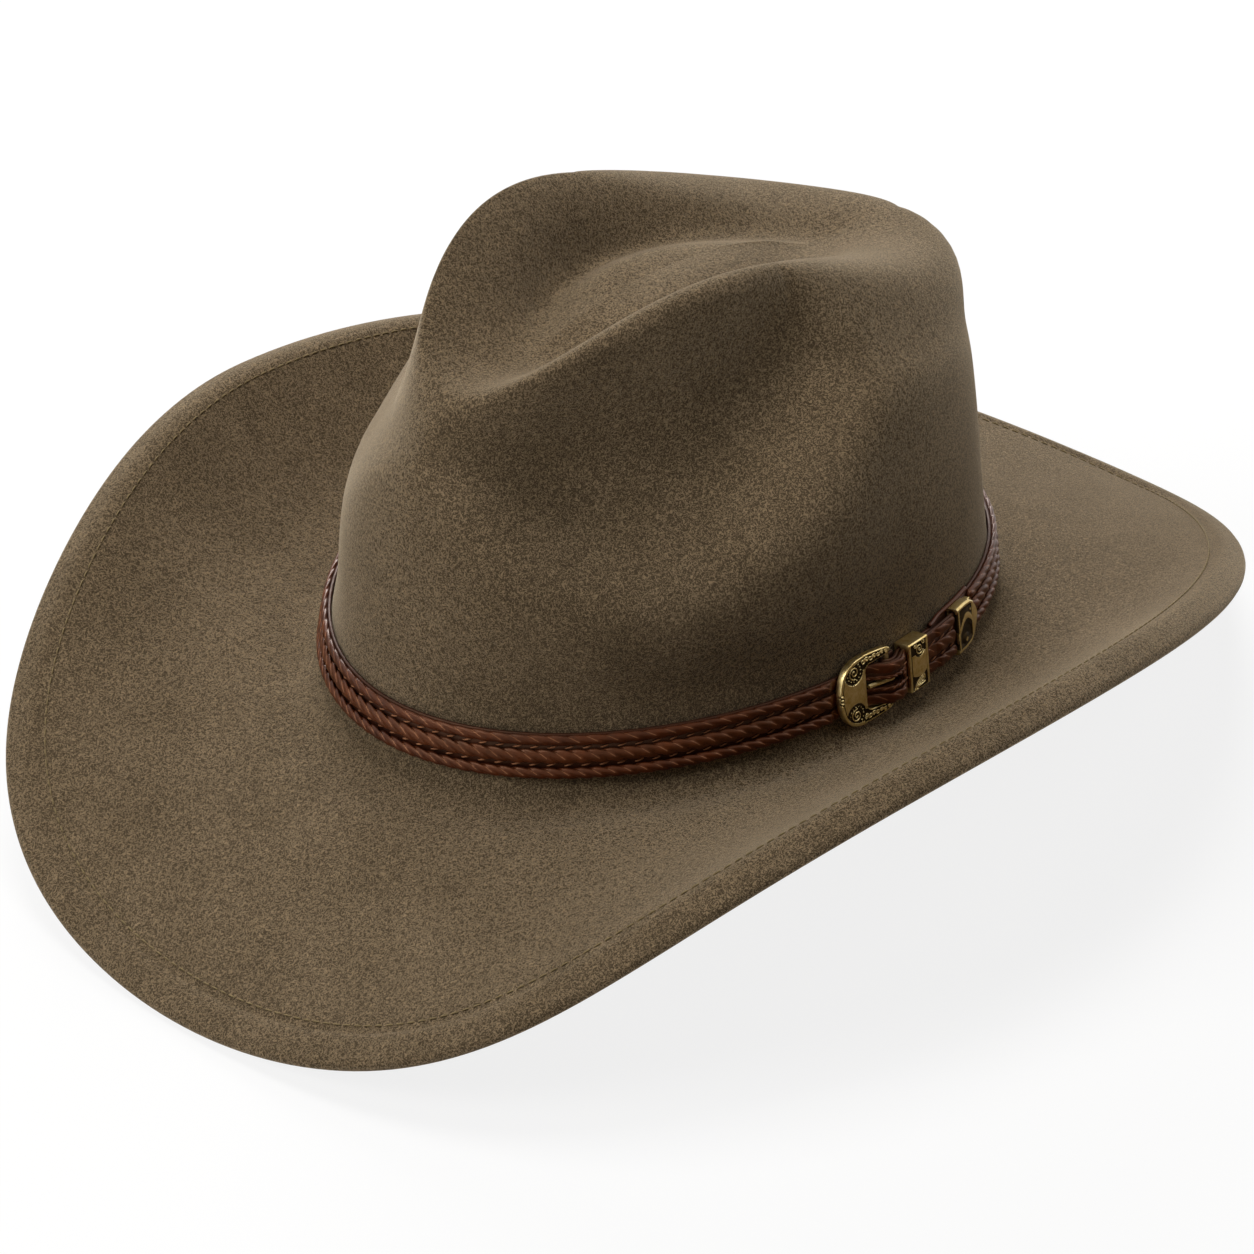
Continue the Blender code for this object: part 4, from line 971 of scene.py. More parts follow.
buckleFrame = dict(
    outer=[(0.9, 8.95), (-0.3, 9.55), (-2.5, 9.85), (-5.5, 10.12), (-8.6, 10.25),
           (-12.4, 10.0), (-15.6, 8.70), (-17.6, 6.30), (-18.6, 3.30), (-19.0, 0.0)],
    inner=[(0.9, 8.10), (-0.2, 7.45), (-2.4, 7.15), (-5.0, 6.95), (-7.2, 6.75),
           (-8.3, 6.00), (-8.6, 4.90), (-8.6, 3.40), (-8.6, 1.70), (-8.6, 0.0)],
    steps=18, across=56, faceDrop=0.15 * mm, barLength=8.1 * mm, barSides=16,
    plateX=-9.0 * mm, plateSoft=1.0 * mm, dome=0.30 * mm, domeX=-13.8 * mm, domeHalf=5.2 * mm,
    rimWidth=0.95 * mm, rimHeight=0.12 * mm, rimX=-9.5 * mm, rimLineX=-11.5 * mm, rimGap=0.2 * mm,
    outerEdge=0.55 * mm, innerEdge=0.40 * mm, strokeWidth=0.30 * mm,
    rose=(-13.2 * mm, 6.5 * mm), roseRadius=3.45 * mm, roseX=-9.2 * mm, roseInner=0.2 * mm,
    roseScroll=(0.25 * mm, 2.0 * mm, 1.7, 0.4), petals=15, petalRing=2.62 * mm,
    armX=-10.4 * mm, armY=6.0 * mm, armScrolls=7, armScroll=(0.98 * mm, 0.58 * mm), armEye=0.12 * mm,
    armFrom=(-9.4, 8.50), armTo=(-0.5, 8.55), armTurn=1.15, armStarts=(-0.7, 2.4),
    beads=(-18.2 * mm, 1.05 * mm, 0.42 * mm), beadHeight=0.30 * mm, beadMoat=1.25,
)


def frameRelief(p, outer, inner):
    # rim and its line, plain middle panel, a scrolled rose in each corner and scrolls out along the arms
    f, w = buckleFrame, brassWork
    toOuter, toInner = nearness(p, outer), nearness(p, inner)
    x, y = p[..., 0], np.abs(p[..., 1])
    folded = np.stack([x, y], -1)
    plate = ease((f["plateX"] - x) / f["plateSoft"])
    height = f["dome"] * np.clip(1 - ((x - f["domeX"]) / f["domeHalf"]) ** 2, 0, 1) * plate
    rose, radius = np.array(f["rose"]), f["roseRadius"]
    fromRose = np.linalg.norm(folded - rose, axis=-1)
    inRose = fromRose < radius - w["lineWidth"]
    onArm = (x > f["armX"]) & (y > f["armY"])
    inside = (toOuter > f["outerEdge"]) & (toInner > f["innerEdge"])
    work = (inRose & (toOuter > f["rimWidth"] + f["rimGap"]) | onArm) & inside
    rim = (toOuter < f["rimWidth"]) & (x < f["rimX"])
    height = height + f["rimHeight"] * rim
    rimLine = cutLine(toOuter - f["rimWidth"] - w["lineGap"]) * (x < f["rimLineX"])
    clearOfRim = (toOuter > f["rimWidth"]) * (toInner > f["roseInner"]) * (x < f["roseX"])
    lines = np.maximum(rimLine, cutLine(fromRose - radius) * clearOfRim)
    scrolls = [spiral(rose, *f["roseScroll"])]
    for a in fullTurn(f["petals"]):
        scrolls.append(rose + f["petalRing"] * np.array([[math.cos(a), math.sin(a)]]))
    for k in range(f["armScrolls"]):
        share = k / (f["armScrolls"] - 1)
        middle = mix(np.array(f["armFrom"]), np.array(f["armTo"]), share) * mm
        scrolls.append(spiral(middle, f["armEye"], mix(*f["armScroll"], share), f["armTurn"], f["armStarts"][k % 2]))
    raised = strokes(folded, scrolls, f["strokeWidth"])
    depth = np.where(work, -w["ground"] * (1 - raised), 0.0) - w["lineDepth"] * lines
    beadX, beadPitch, beadRadius = f["beads"]
    for k in (-1, 0, 1):
        bead = np.linalg.norm(p - np.array([beadX, k * beadPitch]), axis=-1) / beadRadius
        depth = np.where(bead < 1, f["beadHeight"] * np.sqrt(np.clip(1 - bead ** 2, 0, 1)), depth)
        depth = depth - w["lineDepth"] * cutLine((bead - f["beadMoat"]) * beadRadius)
    return height - roundedEdge(np.minimum(toOuter, toInner)), depth


def makeFrame(brass):
    f, half = buckleFrame, buckle["frameThickness"] / 2
    sides = []
    for name in ("outer", "inner"):
        upper = np.array(f[name]) * mm
        sides.append(openCurve(np.vstack([upper, upper[-2::-1] * np.array([1, -1])]), f["steps"]))
    outer, inner = sides
    t = np.linspace(0, 1, f["across"])[None, :, None]
    flat = outer[:, None] * (1 - t) + inner[:, None] * t
    height, depth = frameRelief(flat, outer, inner)
    top = np.concatenate([flat, (half - f["faceDrop"] + height + depth)[..., None]], -1)
    low = [np.concatenate([edge, np.full((len(edge), 1), -half)], -1)[:, None] for edge in (inner, outer)]
    rings = np.concatenate([top, *low], axis=1)
    axes = bandSeat.frame(-buckle["frameWindow"] - buckle["framePlate"], levelPlate, 0.0, levelBar)
    bm = skinRows(bmesh.new(), placed(rings, axes), capped=True)
    darkenLow(bm, np.concatenate([depth, np.zeros((len(outer), 2))], axis=1).reshape(-1))
    turn = fullTurn(f["barSides"])
    ring = np.stack([np.cos(turn), np.zeros_like(turn), np.sin(turn)], -1) * buckle["barRadius"]
    bar = [placed(ring + np.array([0.0, y, 0.0]), axes) for y in (-f["barLength"], f["barLength"])]
    skinRows(bm, bar, capped=True)
    piece = addPiece("engravedFrame", bm, brass, "frame", smoothAngle=40)
    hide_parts("buckle_frame")


keeperWork = dict(
    stations=64, face=110, corner=0.5 * mm, boreCorner=0.25 * mm, rim=0.75 * mm, rimGap=0.3 * mm,
    sideLap=0.2 * mm, strokeWidth=0.27 * mm,
    rose=(0.4 * mm, 4.7 * mm), roseRadius=2.35 * mm, roseDrop=1.1 * mm, roseScroll=(0.2 * mm, 1.7 * mm, 1.6, 2.0),
    curls=(((-1.9, 1.4), 1.1, 0.5), ((1.9, 1.5), -1.1, 2.5)), curlSize=(0.15 * mm, 0.8 * mm),
    leafLow=-3.6 * mm, leafBow=0.10, veins=((0.7, 1.5), (1.7, 1.2), (2.7, 0.9), (3.4, 0.6)), veinSteps=24,
    veinX=-2.6, veinLength=4.6, veinY=-6.7, leafCurl=(1.5, -4.6), leafCurlForm=(0.12 * mm, 0.75 * mm, 1.2, 0.6),
)


def keeperRelief(p):
    # rim at both edges, a scroll above, a plain panel and a leaf below; p runs along and across from the middle
    k, w = keeperWork, brassWork
    x, y = p[..., 0], p[..., 1]
    fromEdge = buckle["keeperLength"] / 2 - np.abs(x)
    rose = np.array(k["rose"])
    fromRose = np.linalg.norm(p - rose, axis=-1)
    inner = fromEdge > k["rim"] + k["rimGap"]
    upper = (y > k["rose"][1] - k["roseDrop"]) | (fromRose < k["roseRadius"])
    lower = y < k["leafLow"] + k["leafBow"] * (x / mm) ** 2 * mm
    work = inner & (upper | lower) & (np.abs(y) < windowHalf + k["sideLap"])
    paths = [spiral(rose, *k["roseScroll"])]
    for offset, turn, start in k["curls"]:
        paths.append(spiral(rose + np.array(offset) * mm, *k["curlSize"], turn, start))
    # leaf: veins that fan out from the lower left, and a curl at the right
    t = np.linspace(0, 1, k["veinSteps"])[:, None]
    for rise, power in k["veins"]:
        paths.append(np.hstack([(k["veinX"] + k["veinLength"] * t) * mm, (k["veinY"] + rise * t ** power) * mm]))
    paths.append(spiral(np.array(k["leafCurl"]) * mm, *k["leafCurlForm"]))
    raised = strokes(p, paths, k["strokeWidth"])
    lines = cutLine(fromEdge - k["rim"] - w["lineGap"])
    depth = np.where(work, -w["ground"] * (1 - raised), 0.0) - w["lineDepth"] * lines
    return -roundedEdge(fromEdge), depth


def roundedLoop(half, low, high, radius, facePoints):
    # loop in (y, z) with its face at high closely stepped; also which points lie on the face
    y = np.linspace(half - radius, -half + radius, facePoints)
    face = np.stack([y, np.full_like(y, high)], -1)
    loop, onFace = [face], [np.ones(facePoints, bool)]
    for sign, level, quarter in ((-1, high, 1), (-1, low, 2), (1, low, 3), (1, high, 0)):
        angle = np.linspace(quarter, quarter + 1, brassWork["cornerSteps"]) * (math.pi / 2)
        centre = np.array([sign * (half - radius), level - radius if level == high else level + radius])
        arc = centre + radius * np.stack([np.cos(angle), np.sin(angle)], -1)
        arc = arc[1:] if quarter == 1 else arc[:-1] if quarter == 0 else arc
        loop.append(arc)
        onFace.append(np.zeros(len(arc), bool))
    return np.concatenate(loop), np.concatenate(onFace)


def makeKeeper(brass):
    k = keeperWork
    length, wallThick = buckle["keeperLength"], buckle["keeperWall"]
    low, high = buckle["keeperClear"], levelTail + strap / 2 + buckle["keeperRelief"] + buckle["keeperFace"]
    loop, onFace = roundedLoop(windowHalf + wallThick, low, high, k["corner"], k["face"])
    bore = roundedLoop(windowHalf, low + wallThick, high - buckle["keeperFace"], k["boreCorner"], 2)[0]
    x = np.linspace(-length, 0, k["stations"])
    grid = np.stack(np.broadcast_arrays(x[:, None] + length / 2, loop[None, :, 0]), -1)
    height, depth = keeperRelief(grid)
    middle = np.array([0.0, (low + high) / 2])
    outerRows, depths = [], []
    for i, at in enumerate(x):
        drop = (height[i] + np.where(onFace, depth[i], 0.0))[:, None]
        section = loop + unit(loop - middle) * np.where(onFace[:, None], 0.0, drop)
        section[:, 1] += np.where(onFace, drop[:, 0], 0.0)
        outerRows.append(np.column_stack([np.full(len(loop), at), section]))
        depths.append(np.where(onFace, depth[i], 0.0))
    innerRows = [np.column_stack([np.full(len(bore), at), bore]) for at in (0.0, -length)]
    axes = bandSeat.frame(buckle["keeperStart"], 0.0, keeperEnd, 0.0)
    bm = bmesh.new()
    rings = [[bm.verts.new(Vector(map(float, p))) for p in placed(row, axes)] for row in outerRows + innerRows]
    for a, b in list(zip(rings[:k["stations"]], rings[1:k["stations"]])) + [(rings[-2], rings[-1])]:
        for j in range(len(a)):
            m = (j + 1) % len(a)
            bm.faces.new((a[j], b[j], b[m], a[m]))
    for outerRing, innerRing in ((rings[k["stations"] - 1], rings[-2]), (rings[0], rings[-1])):
        edges = [bm.edges.get((ring[j], ring[(j + 1) % len(ring)]))
                 for ring in (outerRing, innerRing) for j in range(len(ring))]
        bmesh.ops.bridge_loops(bm, edges=edges)
    darkenLow(bm, np.concatenate([*depths, np.zeros(2 * len(bore))]))
    piece = addPiece("engravedKeeper", bm, brass, "keeper", smoothAngle=40)
    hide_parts("buckle_keeper")


tipWork = dict(
    stations=72, face=90, corner=0.7 * mm, mouthCorner=0.2 * mm, socketDepth=1.0 * mm, recess=0.55 * mm,
    draw=((0.0, 1.0), (0.35, 1.0), (0.62, 0.93), (0.82, 0.72), (0.94, 0.42), (1.0, 0.16)),
    fallFrom=0.55, fall=0.55 * mm, fallBack=0.4,
    sideRib=(0.90, 0.20), mouthRib=(0.07, 0.085), curl=(0.40, 0.85, 0.14, 0.42),
    knobs=((0.40, 0.15, -0.62, 0.26), (0.62, 0.10, 0.55, 0.18)), endFrom=0.66, endSoft=0.08,
)


def tipRelief(along, across):
    # a ridge round the edge and one curling down the middle, with dark hollows between; both run 0 to 1 and -1 to 1
    w = tipWork
    (side, sideWidth), (mouth, mouthWidth) = w["sideRib"], w["mouthRib"]
    swing, waves, start, curlWidth = w["curl"]
    curl = swing * np.sin(2 * math.pi * waves * (along - start))
    rib = np.maximum.reduce([
        1 - np.abs(np.abs(across) - side) / sideWidth,
        1 - np.abs(along - mouth) / mouthWidth,
        1 - np.abs(across - curl) / curlWidth,
        *[1 - np.hypot((along - a) / aSize, (across - b) / bSize) for a, aSize, b, bSize in w["knobs"]],
        ease((along - w["endFrom"]) / w["endSoft"]),
    ])
    return -w["recess"] * (1 - np.sqrt(np.clip(rib, 0, 1)))


def makeTip(brass):
    w = tipWork
    insideLow, insideHigh = levelTail - strap / 2 - buckle["slideGap"], levelTail + strap / 2 + buckle["slideGap"]
    low, high = insideLow - buckle["tipBack"], insideHigh + buckle["tipFace"]
    half = band["width"] / 2 + gap
    shares, draws = np.array(w["draw"]).T
    rows, depths = [], []
    for share in np.linspace(0, 1, w["stations"]):
        reach = (half + buckle["tipSide"]) * np.interp(share, shares, draws)
        lower = w["fall"] * ease((share - w["fallFrom"]) / (1 - w["fallFrom"]))
        loop, onFace = roundedLoop(reach, low + lower * w["fallBack"], high - lower, w["corner"], w["face"])
        across = loop[:, 0] / reach
        depth = np.where(onFace, tipRelief(np.full_like(across, share), across), 0.0)
        loop[:, 1] += depth
        rows.append(np.column_stack([np.full(len(loop), share * buckle["tipLength"] - buckle["tipSocket"]), loop]))
        depths.append(depth)
    mouth = roundedLoop(half, insideLow, insideHigh, w["mouthCorner"], w["face"])[0]
    socket = [np.column_stack([np.full(len(mouth), x), mouth]) for x in (w["socketDepth"], -buckle["tipSocket"])]
    axes = bandSeat.frame(buckle["tipStart"], 0.0, tailEnd, 0.0)
    bm = skinRows(bmesh.new(), [placed(row, axes) for row in socket + rows], capped=True)
    darkenLow(bm, np.concatenate([np.zeros(2 * len(mouth)), *depths]))
    piece = addPiece("scrolledTip", bm, brass, "hatband", smoothAngle=40)
    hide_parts("strap_tip")


def makeBuckleSet():
    w = brassWork
    polished = brassMaterial("cast brass, brushed and antiqued", w["polish"], w["worn"], roughness=0.30)
    sunk = brassMaterial("cast brass, patina left in the engraving", w["recess"], w["recessPale"], roughness=0.55)
    makeFrame((polished, sunk))
    makeKeeper((polished, sunk))
    makeTip((polished, sunk))
    prong = frame["nodes"]["buckle_prong"]
    prong.data.materials.clear()
    prong.data.materials.append(polished)
    print("buckle set: engraved frame, keeper and tip")


# Inside: sweatband, its stitches and bow, and the satin lining

inside = dict(
    columns=288, lining=0.4 * mm, liningClear=0.7 * mm,
    sweatbandInset=4.0 * mm, sweatband=0.9 * mm, sweatbandHeight=36 * mm, sweatbandRows=12, edgeRound=0.25 * mm,
    seam=0.8 * mm, reed=1.8 * mm, reedSides=12,
    stitchHeight=3.5 * mm, stitchPitch=3.4 * mm, stitchLength=2.4 * mm, stitchRadius=0.25 * mm,
    stitchColumns=1440, stitchFrom=2.0 * mm, stitchStop=4.0 * mm,
    sweatLeather="#7d5836", sweatDark="#5f4127", thread="#b59a72", ribbon="#3d3229", ribbonPale="#54473a",
    ribPitch=2.4 * mm, ribDepth=0.1 * mm,
    satin="#84725a", satinPale="#9c886c", floatSize=(0.3 * mm, 0.3 * mm, 6 * mm), floatDepth=0.05 * mm,
)
bow = dict(
    lift=12 * mm, stand=0.25 * mm, ribbon=5.2 * mm, thick=0.28 * mm, pinch=0.55,
    loop=9.2 * mm, loopSteps=40, loopPower=0.8, open=0.62 * mm, openFoot=1.15,
    tail=8.5 * mm, tailLean=math.radians(33), tailSteps=14, tailStand=0.20 * mm, tailWave=0.15 * mm,
    knot=1.5 * mm, knotRows=9, knotSides=16, knotEnd=0.75, knotFoot=1.25, knotHeight=0.62,
)
liningForm = dict(
    sideTop=1 / 3, sideRows=16, gathers=84, gatherDepth=1.1 * mm, gatherDrift=((1.4, 5), (0.9, 13)), looseShare=0.5,
    slack=2.0 * mm, top=80 * mm, topLength=100 * mm, topWidth=56 * mm, rise=6 * mm, tipRows=7, outRows=12,
    seamRows=6, smoothing=6, pleats=44, pleatDepth=0.9 * mm, pleatDrift=(1.1, 4), pleatFrom=0.25, pleatPower=1.5,
    edgeFall=0.3, sideFlat=(0.039, 0.577), sideArea=0.0161, tipFlat=(0.166, 0.210), tipArea=0.0272,
)


def ribbonMaterial():
    # grosgrain ribbon, woven with a heavy weft: matt, with close cross ribs
    w = inside
    made, tree, shader = newMaterial("grosgrain ribbon, woven", {"Roughness": 0.75, "Specular IOR Level": 0.25})
    settings = {"bands_direction": "X", "Scale": 1 / w["ribPitch"], "Distortion": 0.6}
    ribs = addNode(tree, "ShaderNodeTexWave", settings, {"Vector": objectPlace(tree)}).outputs["Fac"]
    colour = mixColours(tree, w["ribbon"], w["ribbonPale"], ribs)
    giveSurface(tree, shader, colour, ribs, strength=0.4, depth=w["ribDepth"])
    return made


def satinMaterial():
    # satin, woven with long floats: smooth and softly shining, with a thread lay drawn coarser than real to show
    w = inside
    made, tree, shader = newMaterial("satin, woven with long floats", {
        "Roughness": 0.36, "Specular IOR Level": 0.45, "Sheen Weight": 0.15, "Sheen Roughness": 0.3})
    floats = streaksOf(tree, objectPlace(tree), w["floatSize"])
    colour = mixColours(tree, w["satin"], w["satinPale"], floats)
    giveSurface(tree, shader, colour, floats, strength=0.15, depth=w["floatDepth"])
    return made


def makeSweatband():
    # a strip of leather, sewn to a strip at the brim's break and butted at the rear under a bow
    w, low = inside, crown["breakRadius"]
    halfSeam = w["seam"] / 2 / halfWidth
    phi = np.linspace(-math.pi + halfSeam, math.pi - halfSeam, w["columns"])
    leather = leatherMaterial(
        "sweatband sheepskin, dyed and finished smooth", w["sweatLeather"], w["sweatDark"],
        roughness=0.50, grain=0.5 * mm)
    heights = np.linspace(w["edgeRound"], w["sweatbandHeight"] - w["edgeRound"], w["sweatbandRows"])
    outer = [(w["sweatbandInset"], h) for h in heights]
    inner = [(w["sweatbandInset"] + w["sweatband"], h) for h in heights[::-1]]
    middle = w["sweatbandInset"] + w["sweatband"] / 2
    section = [*outer, (middle, w["sweatbandHeight"]), *inner, (middle, 0.0)]
    loops = np.stack([wallLoop(phi, low + h, inset) for inset, h in section], axis=1)
    bm = skinRows(bmesh.new(), loops + hatSeat, capped=True)
    piece = addPiece("sweatbandStrip", bm, leather, "hat", smoothAngle=60)
    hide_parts("sweatband")

    ribbon = ribbonMaterial()
    around, up = turns(w["columns"]), np.array([0.0, 0.0, 1.0])
    centre = wallLoop(around, low, middle) - up * (gap + w["reed"] / 2) + hatSeat
    rows = [centre + w["reed"] / 2 * (outward(around) * math.cos(a) + up * math.sin(a))
            for a in fullTurn(w["reedSides"])]
    piece = addPiece("reedRibbon", skinRows(bmesh.new(), rows, closedRows=True), ribbon, "hat")
    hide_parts("sweatband_reed")

    face = w["sweatbandInset"] + w["sweatband"]
    fine = np.linspace(-math.pi, math.pi, w["stitchColumns"] + 1)
    line = wallLoop(fine, low + w["stitchHeight"], face) + hatSeat
    run = runOf(line)
    bm = bmesh.new()
    for at in np.arange(w["stitchFrom"], run[-1] - w["stitchStop"], w["stitchPitch"]):
        inwards = -outward(np.array([np.interp(at, run, fine)]))[0]
        start, end = (pointAt(line, run, at + d) for d in (0.0, w["stitchLength"]))
        addStitch(bm, start, end, inwards, w["stitchRadius"])
    piece = addPiece("sweatbandStitches", bm, threadMaterial("spun sweatband thread", w["thread"]), "hat")
    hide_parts("sweatband_thread")
    makeBow(ribbon, face)


def ribbonStrip(bm, path, across, thick):
    # flat ribbon along a path in (x, y, z), as wide as across
    way = unit(np.gradient(path, axis=0))
    face = unit(np.cross(way, across))
    rows = []
    for p, f, a in zip(path, face, np.broadcast_to(across, path.shape)):
        lift, side = f * thick / 2, a / 2
        rows.append([p + lift - side, p + lift + side, p - lift + side, p - lift - side])
    skinRows(bm, rows, capped=True)


def makeBow(ribbon, face):
    # two loops, two tails and a knot on the rear seam; x runs sideways, y out from the leather and z up
    b = bow
    seat = wallLoop(np.array([math.pi]), crown["breakRadius"] + b["lift"], face + b["stand"])[0] + hatSeat
    endRadius = halfWidth ** 2 / halfLength

    def onSeat(x, y, z):
        return seat + np.stack([x, -y - x ** 2 / (2 * endRadius), z], -1)

    bm = bmesh.new()
    up = np.array([0.0, 0.0, 1.0])
    for side in (-1, 1):
        turn = np.linspace(0, 2 * math.pi, b["loopSteps"])
        x = side * b["loop"] / 2 * (1 - np.cos(turn))
        y = b["open"] * (b["openFoot"] + np.sin(turn) * np.sin(turn / 2))
        pinch = mix(b["pinch"], 1.0, np.sin(turn / 2) ** b["loopPower"])
        ribbonStrip(bm, onSeat(x, y, np.zeros_like(x)), up * (b["ribbon"] * pinch)[:, None], b["thick"])
        t = np.linspace(0, 1, b["tailSteps"])
        lean = b["tailLean"]
        across = np.array([math.cos(lean), 0.0, side * math.sin(lean)]) * b["ribbon"]
        x, z = side * t * b["tail"] * math.sin(lean), -t * b["tail"] * math.cos(lean)
        y = b["tailStand"] + b["tailWave"] * np.sin(math.pi * t)
        ribbonStrip(bm, onSeat(x, y, z), across * mix(b["pinch"], 1.0, t)[:, None], b["thick"])
    turn = fullTurn(b["knotSides"])
    rows = []
    for x in np.linspace(-1, 1, b["knotRows"]):
        size = mix(b["knotEnd"], 1.0, math.sqrt(max(0.0, 1 - x * x)))
        y = b["open"] * (b["knotFoot"] + size * np.cos(turn))
        z = b["knotHeight"] * b["ribbon"] / 2 * size * np.sin(turn)
        rows.append(onSeat(np.full_like(turn, x * b["knot"]), y, z))
    skinRows(bm, rows, capped=True)
    piece = addPiece("ribbonBow", bm, ribbon, "hat", smoothAngle=50)
    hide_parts("sweatband_bow")
    print("sweatband: strip, reed, stitches and bow")


def shellFrom(rows, normals, thick):
    return [*rows, *[row + n * thick for row, n in zip(rows[::-1], normals[::-1])]]


def makeLining():
    w, f = inside, liningForm
    satin = satinMaterial()
    phi = turns(2 * w["columns"])
    controls, knots = feltProfile(phi)
    at = np.linspace(f["sideTop"], 1.0, f["sideRows"])
    upper = spline(controls, mix(knots[shoulderRow], knots[shoulderRow + 1], at))
    inwards = -outward(phi)
    inset = crown["felt"] + w["liningClear"]

    # side strip: gathered where it meets the tip, flat where the sweatband holds it
    drift = sum(share * np.sin(count * phi) for share, count in f["gatherDrift"])
    wave = 0.5 + 0.5 * np.sin(f["gathers"] * phi + drift)
    loose = np.clip((1.0 - at) / f["looseShare"], 0, 1)
    rows = [row + inwards * (inset + f["gatherDepth"] * share * wave)[:, None] + hatSeat
            for row, share in zip(upper, loose)]
    bm = skinRows(bmesh.new(), shellFrom(rows, [inwards] * len(rows), w["lining"]), closedRows=True)
    side = addPiece("sideLining", bm, satin, "hat", smoothAngle=80)
    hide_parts("lining_side")

    # tip: a shallow dome below the creases, pleated out to its seam with the side strip
    normal = surfaceNormals(feltRows(phi, (2,) * spans))[2 * shoulderRow]
    corner = controls[shoulderRow] - normal * (inset + f["slack"])
    seam = upper[0] + inwards * (inset + gap + w["lining"] + f["gatherDepth"])
    dome = []
    for share in np.linspace(0, 1, f["tipRows"]):
        x = share * f["topWidth"] / 2 * np.sin(phi)
        y = crown["floorMiddleY"] - share * f["topLength"] / 2 * np.cos(phi)
        dome.append(np.stack([x, y, np.full_like(phi, f["top"] + f["rise"] * (1 - share ** 2) - inset)], -1))
    out = [mix(dome[-1], corner, t) for t in np.linspace(0, 1, f["outRows"])[1:]]
    out += [mix(corner, seam, t) for t in np.linspace(0, 1, f["seamRows"])[1:]]
    sheet = np.stack(dome + out)
    for step in range(f["smoothing"]):
        sheet[1:-1] = (sheet[:-2] + 2 * sheet[1:-1] + sheet[2:]) / 4
    reach = np.arange(len(sheet)) / (len(sheet) - 1)
    driftShare, driftCount = f["pleatDrift"]
    wave = 0.5 + 0.5 * np.sin(f["pleats"] * phi + driftShare * np.sin(driftCount * phi))
    fall = np.array([0.0, 0.0, -1.0])
    pleated = np.clip((reach - f["pleatFrom"]) / (1 - f["pleatFrom"]), 0, 1)
    pleat = f["pleatDepth"] * np.sin(math.pi * pleated) ** f["pleatPower"]
    rows = [row + fall * (depth * wave)[:, None] + hatSeat for row, depth in zip(sheet, pleat)]
    lower = [row + (fall * mix(1.0, f["edgeFall"], r) + inwards * r) * w["lining"] for row, r in zip(rows, reach)]
    shell = [rows[0][:1], *rows[1:], *lower[1:][::-1], lower[0][:1]]
    tip = addPiece("tipLining", skinRows(bmesh.new(), shell), satin, "hat", smoothAngle=80)
    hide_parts("lining_tip")
    print("lining: gathered side strip and pleated tip")


# Studio

studio = dict(
    floorHex="#f4f3f1", floorSize=8.0, backdropShare=0.84, worldStrength=0.05,
    cameraSpot=(0.96649, -0.99269, 0.86638), look=(-0.60656, 0.60656, -0.51398), up=(-0.36344, 0.36344, 0.85780),
    lens=160.77, sensor=36.0, lampSize=0.9, lampTarget=(0, 0, 0.08),
    lamps=dict(
        topSoftbox=((-0.35, 0.25, 1.93), 22.0), backSoftbox=((-1.40, 1.00, 0.78), 23.0),
        frontSoftbox=((-0.40, -1.48, 1.18), 16.0), sideSoftbox=((1.03, 1.03, 1.30), 4.5),
    ),
)


def addLamp(name, spot, power):
    data = bpy.data.lights.new(name, "AREA")
    data.shape = "RECTANGLE"
    data.size = data.size_y = studio["lampSize"]
    data.energy = power
    lamp = addObject(name, data)
    lamp.location = spot
    lamp.rotation_euler = (Vector(studio["lampTarget"]) - Vector(spot)).to_track_quat("-Z", "Y").to_euler()


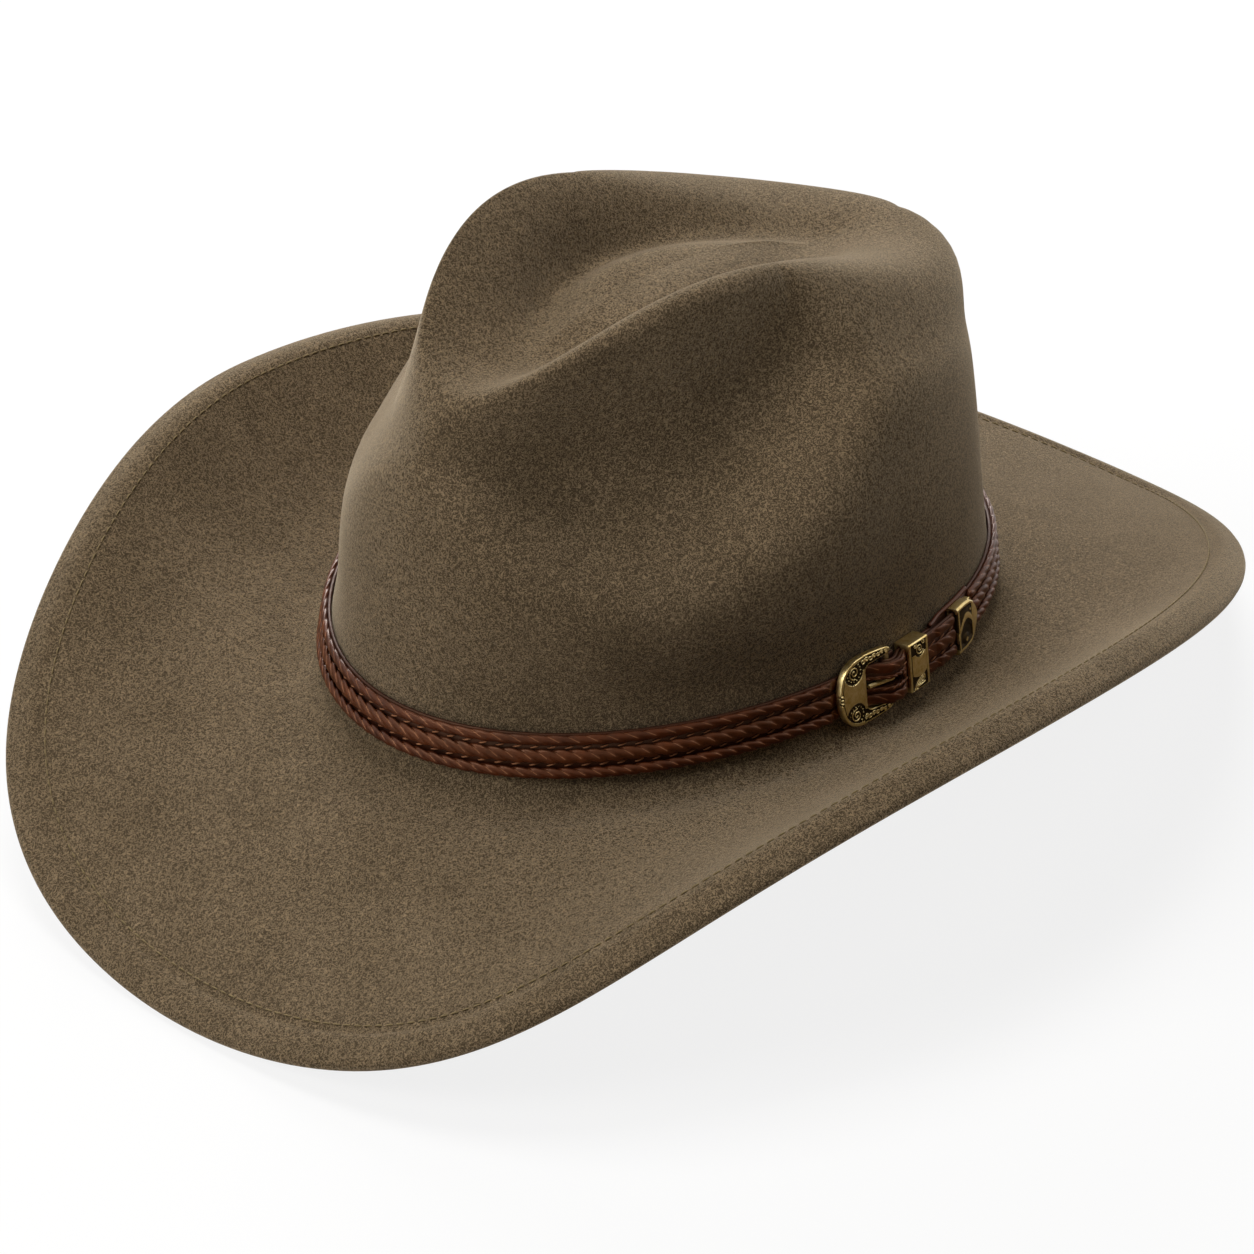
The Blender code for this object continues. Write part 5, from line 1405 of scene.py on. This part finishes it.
def makeStudio():
    look, up = Vector(studio["look"]).normalized(), Vector(studio["up"]).normalized()
    right = look.cross(up).normalized()
    turn = Matrix((right, right.cross(look), -look)).transposed()
    data = bpy.data.cameras.new("photoCamera")
    data.lens, data.sensor_width = studio["lens"], studio["sensor"]
    camera = addObject("photoCamera", data)
    camera.matrix_world = Matrix.Translation(studio["cameraSpot"]) @ turn.to_4x4()
    scene.camera = camera

    # painted floor: to the eye it is the backdrop's white, to the hat it is a pale bounce
    made, tree, shader = newMaterial("matt white studio floor", {
        "Base Color": hexColour(studio["floorHex"]), "Roughness": 0.9})
    sees = addNode(tree, "ShaderNodeLightPath", {}).outputs
    white = addNode(tree, "ShaderNodeEmission", {"Color": (1, 1, 1, 1), "Strength": 1.0})
    shown = largerOf(tree, sees["Is Camera Ray"], sees["Is Glossy Ray"])
    share = addNode(tree, "ShaderNodeMath", {"operation": "MULTIPLY", 1: studio["backdropShare"]}, {0: shown})
    painted = addNode(tree, "ShaderNodeMixShader", {}, {0: share, 1: shader, 2: white})
    # clear from below, so that the inside of the hat can be seen
    below = addNode(tree, "ShaderNodeNewGeometry", {})
    clear = addNode(tree, "ShaderNodeBsdfTransparent", {})
    both = addNode(tree, "ShaderNodeMixShader", {}, {0: below.outputs["Backfacing"], 1: painted, 2: clear})
    tree.links.new(both.outputs[0], tree.nodes["Material Output"].inputs["Surface"])
    half = studio["floorSize"] / 2
    floorMesh = bpy.data.meshes.new("studioFloor")
    corners = [(-half, -half, 0), (half, -half, 0), (half, half, 0), (-half, half, 0)]
    floorMesh.from_pydata(corners, [], [(0, 1, 2, 3)])
    floorMesh.materials.append(made)
    floor = addObject("studioFloor", floorMesh)

    world = bpy.data.worlds.new("studioWorld")
    scene.world = world
    world.use_nodes = True
    tree = world.node_tree
    soft = tree.nodes["Background"]
    soft.inputs["Color"].default_value = (1, 1, 1, 1)
    soft.inputs["Strength"].default_value = studio["worldStrength"]
    white = addNode(tree, "ShaderNodeBackground", {"Color": (1, 1, 1, 1), "Strength": 1.0})
    sees = addNode(tree, "ShaderNodeLightPath", {}).outputs
    shown = largerOf(tree, sees["Is Camera Ray"], sees["Is Transmission Ray"])
    shinySees = largerOf(tree, shown, sees["Is Glossy Ray"])
    both = addNode(tree, "ShaderNodeMixShader", {}, {0: shinySees, 1: soft, 2: white})
    tree.links.new(both.outputs[0], tree.nodes["World Output"].inputs["Surface"])
    for name, (spot, power) in studio["lamps"].items():
        addLamp(name, spot, power)
    print("studio: camera", [round(v, 3) for v in camera.location])


makeStudio()
makeFelt()
makeWeltStitches()
makeLacedBand()
makeBuckleSet()
makeSweatband()
makeLining()
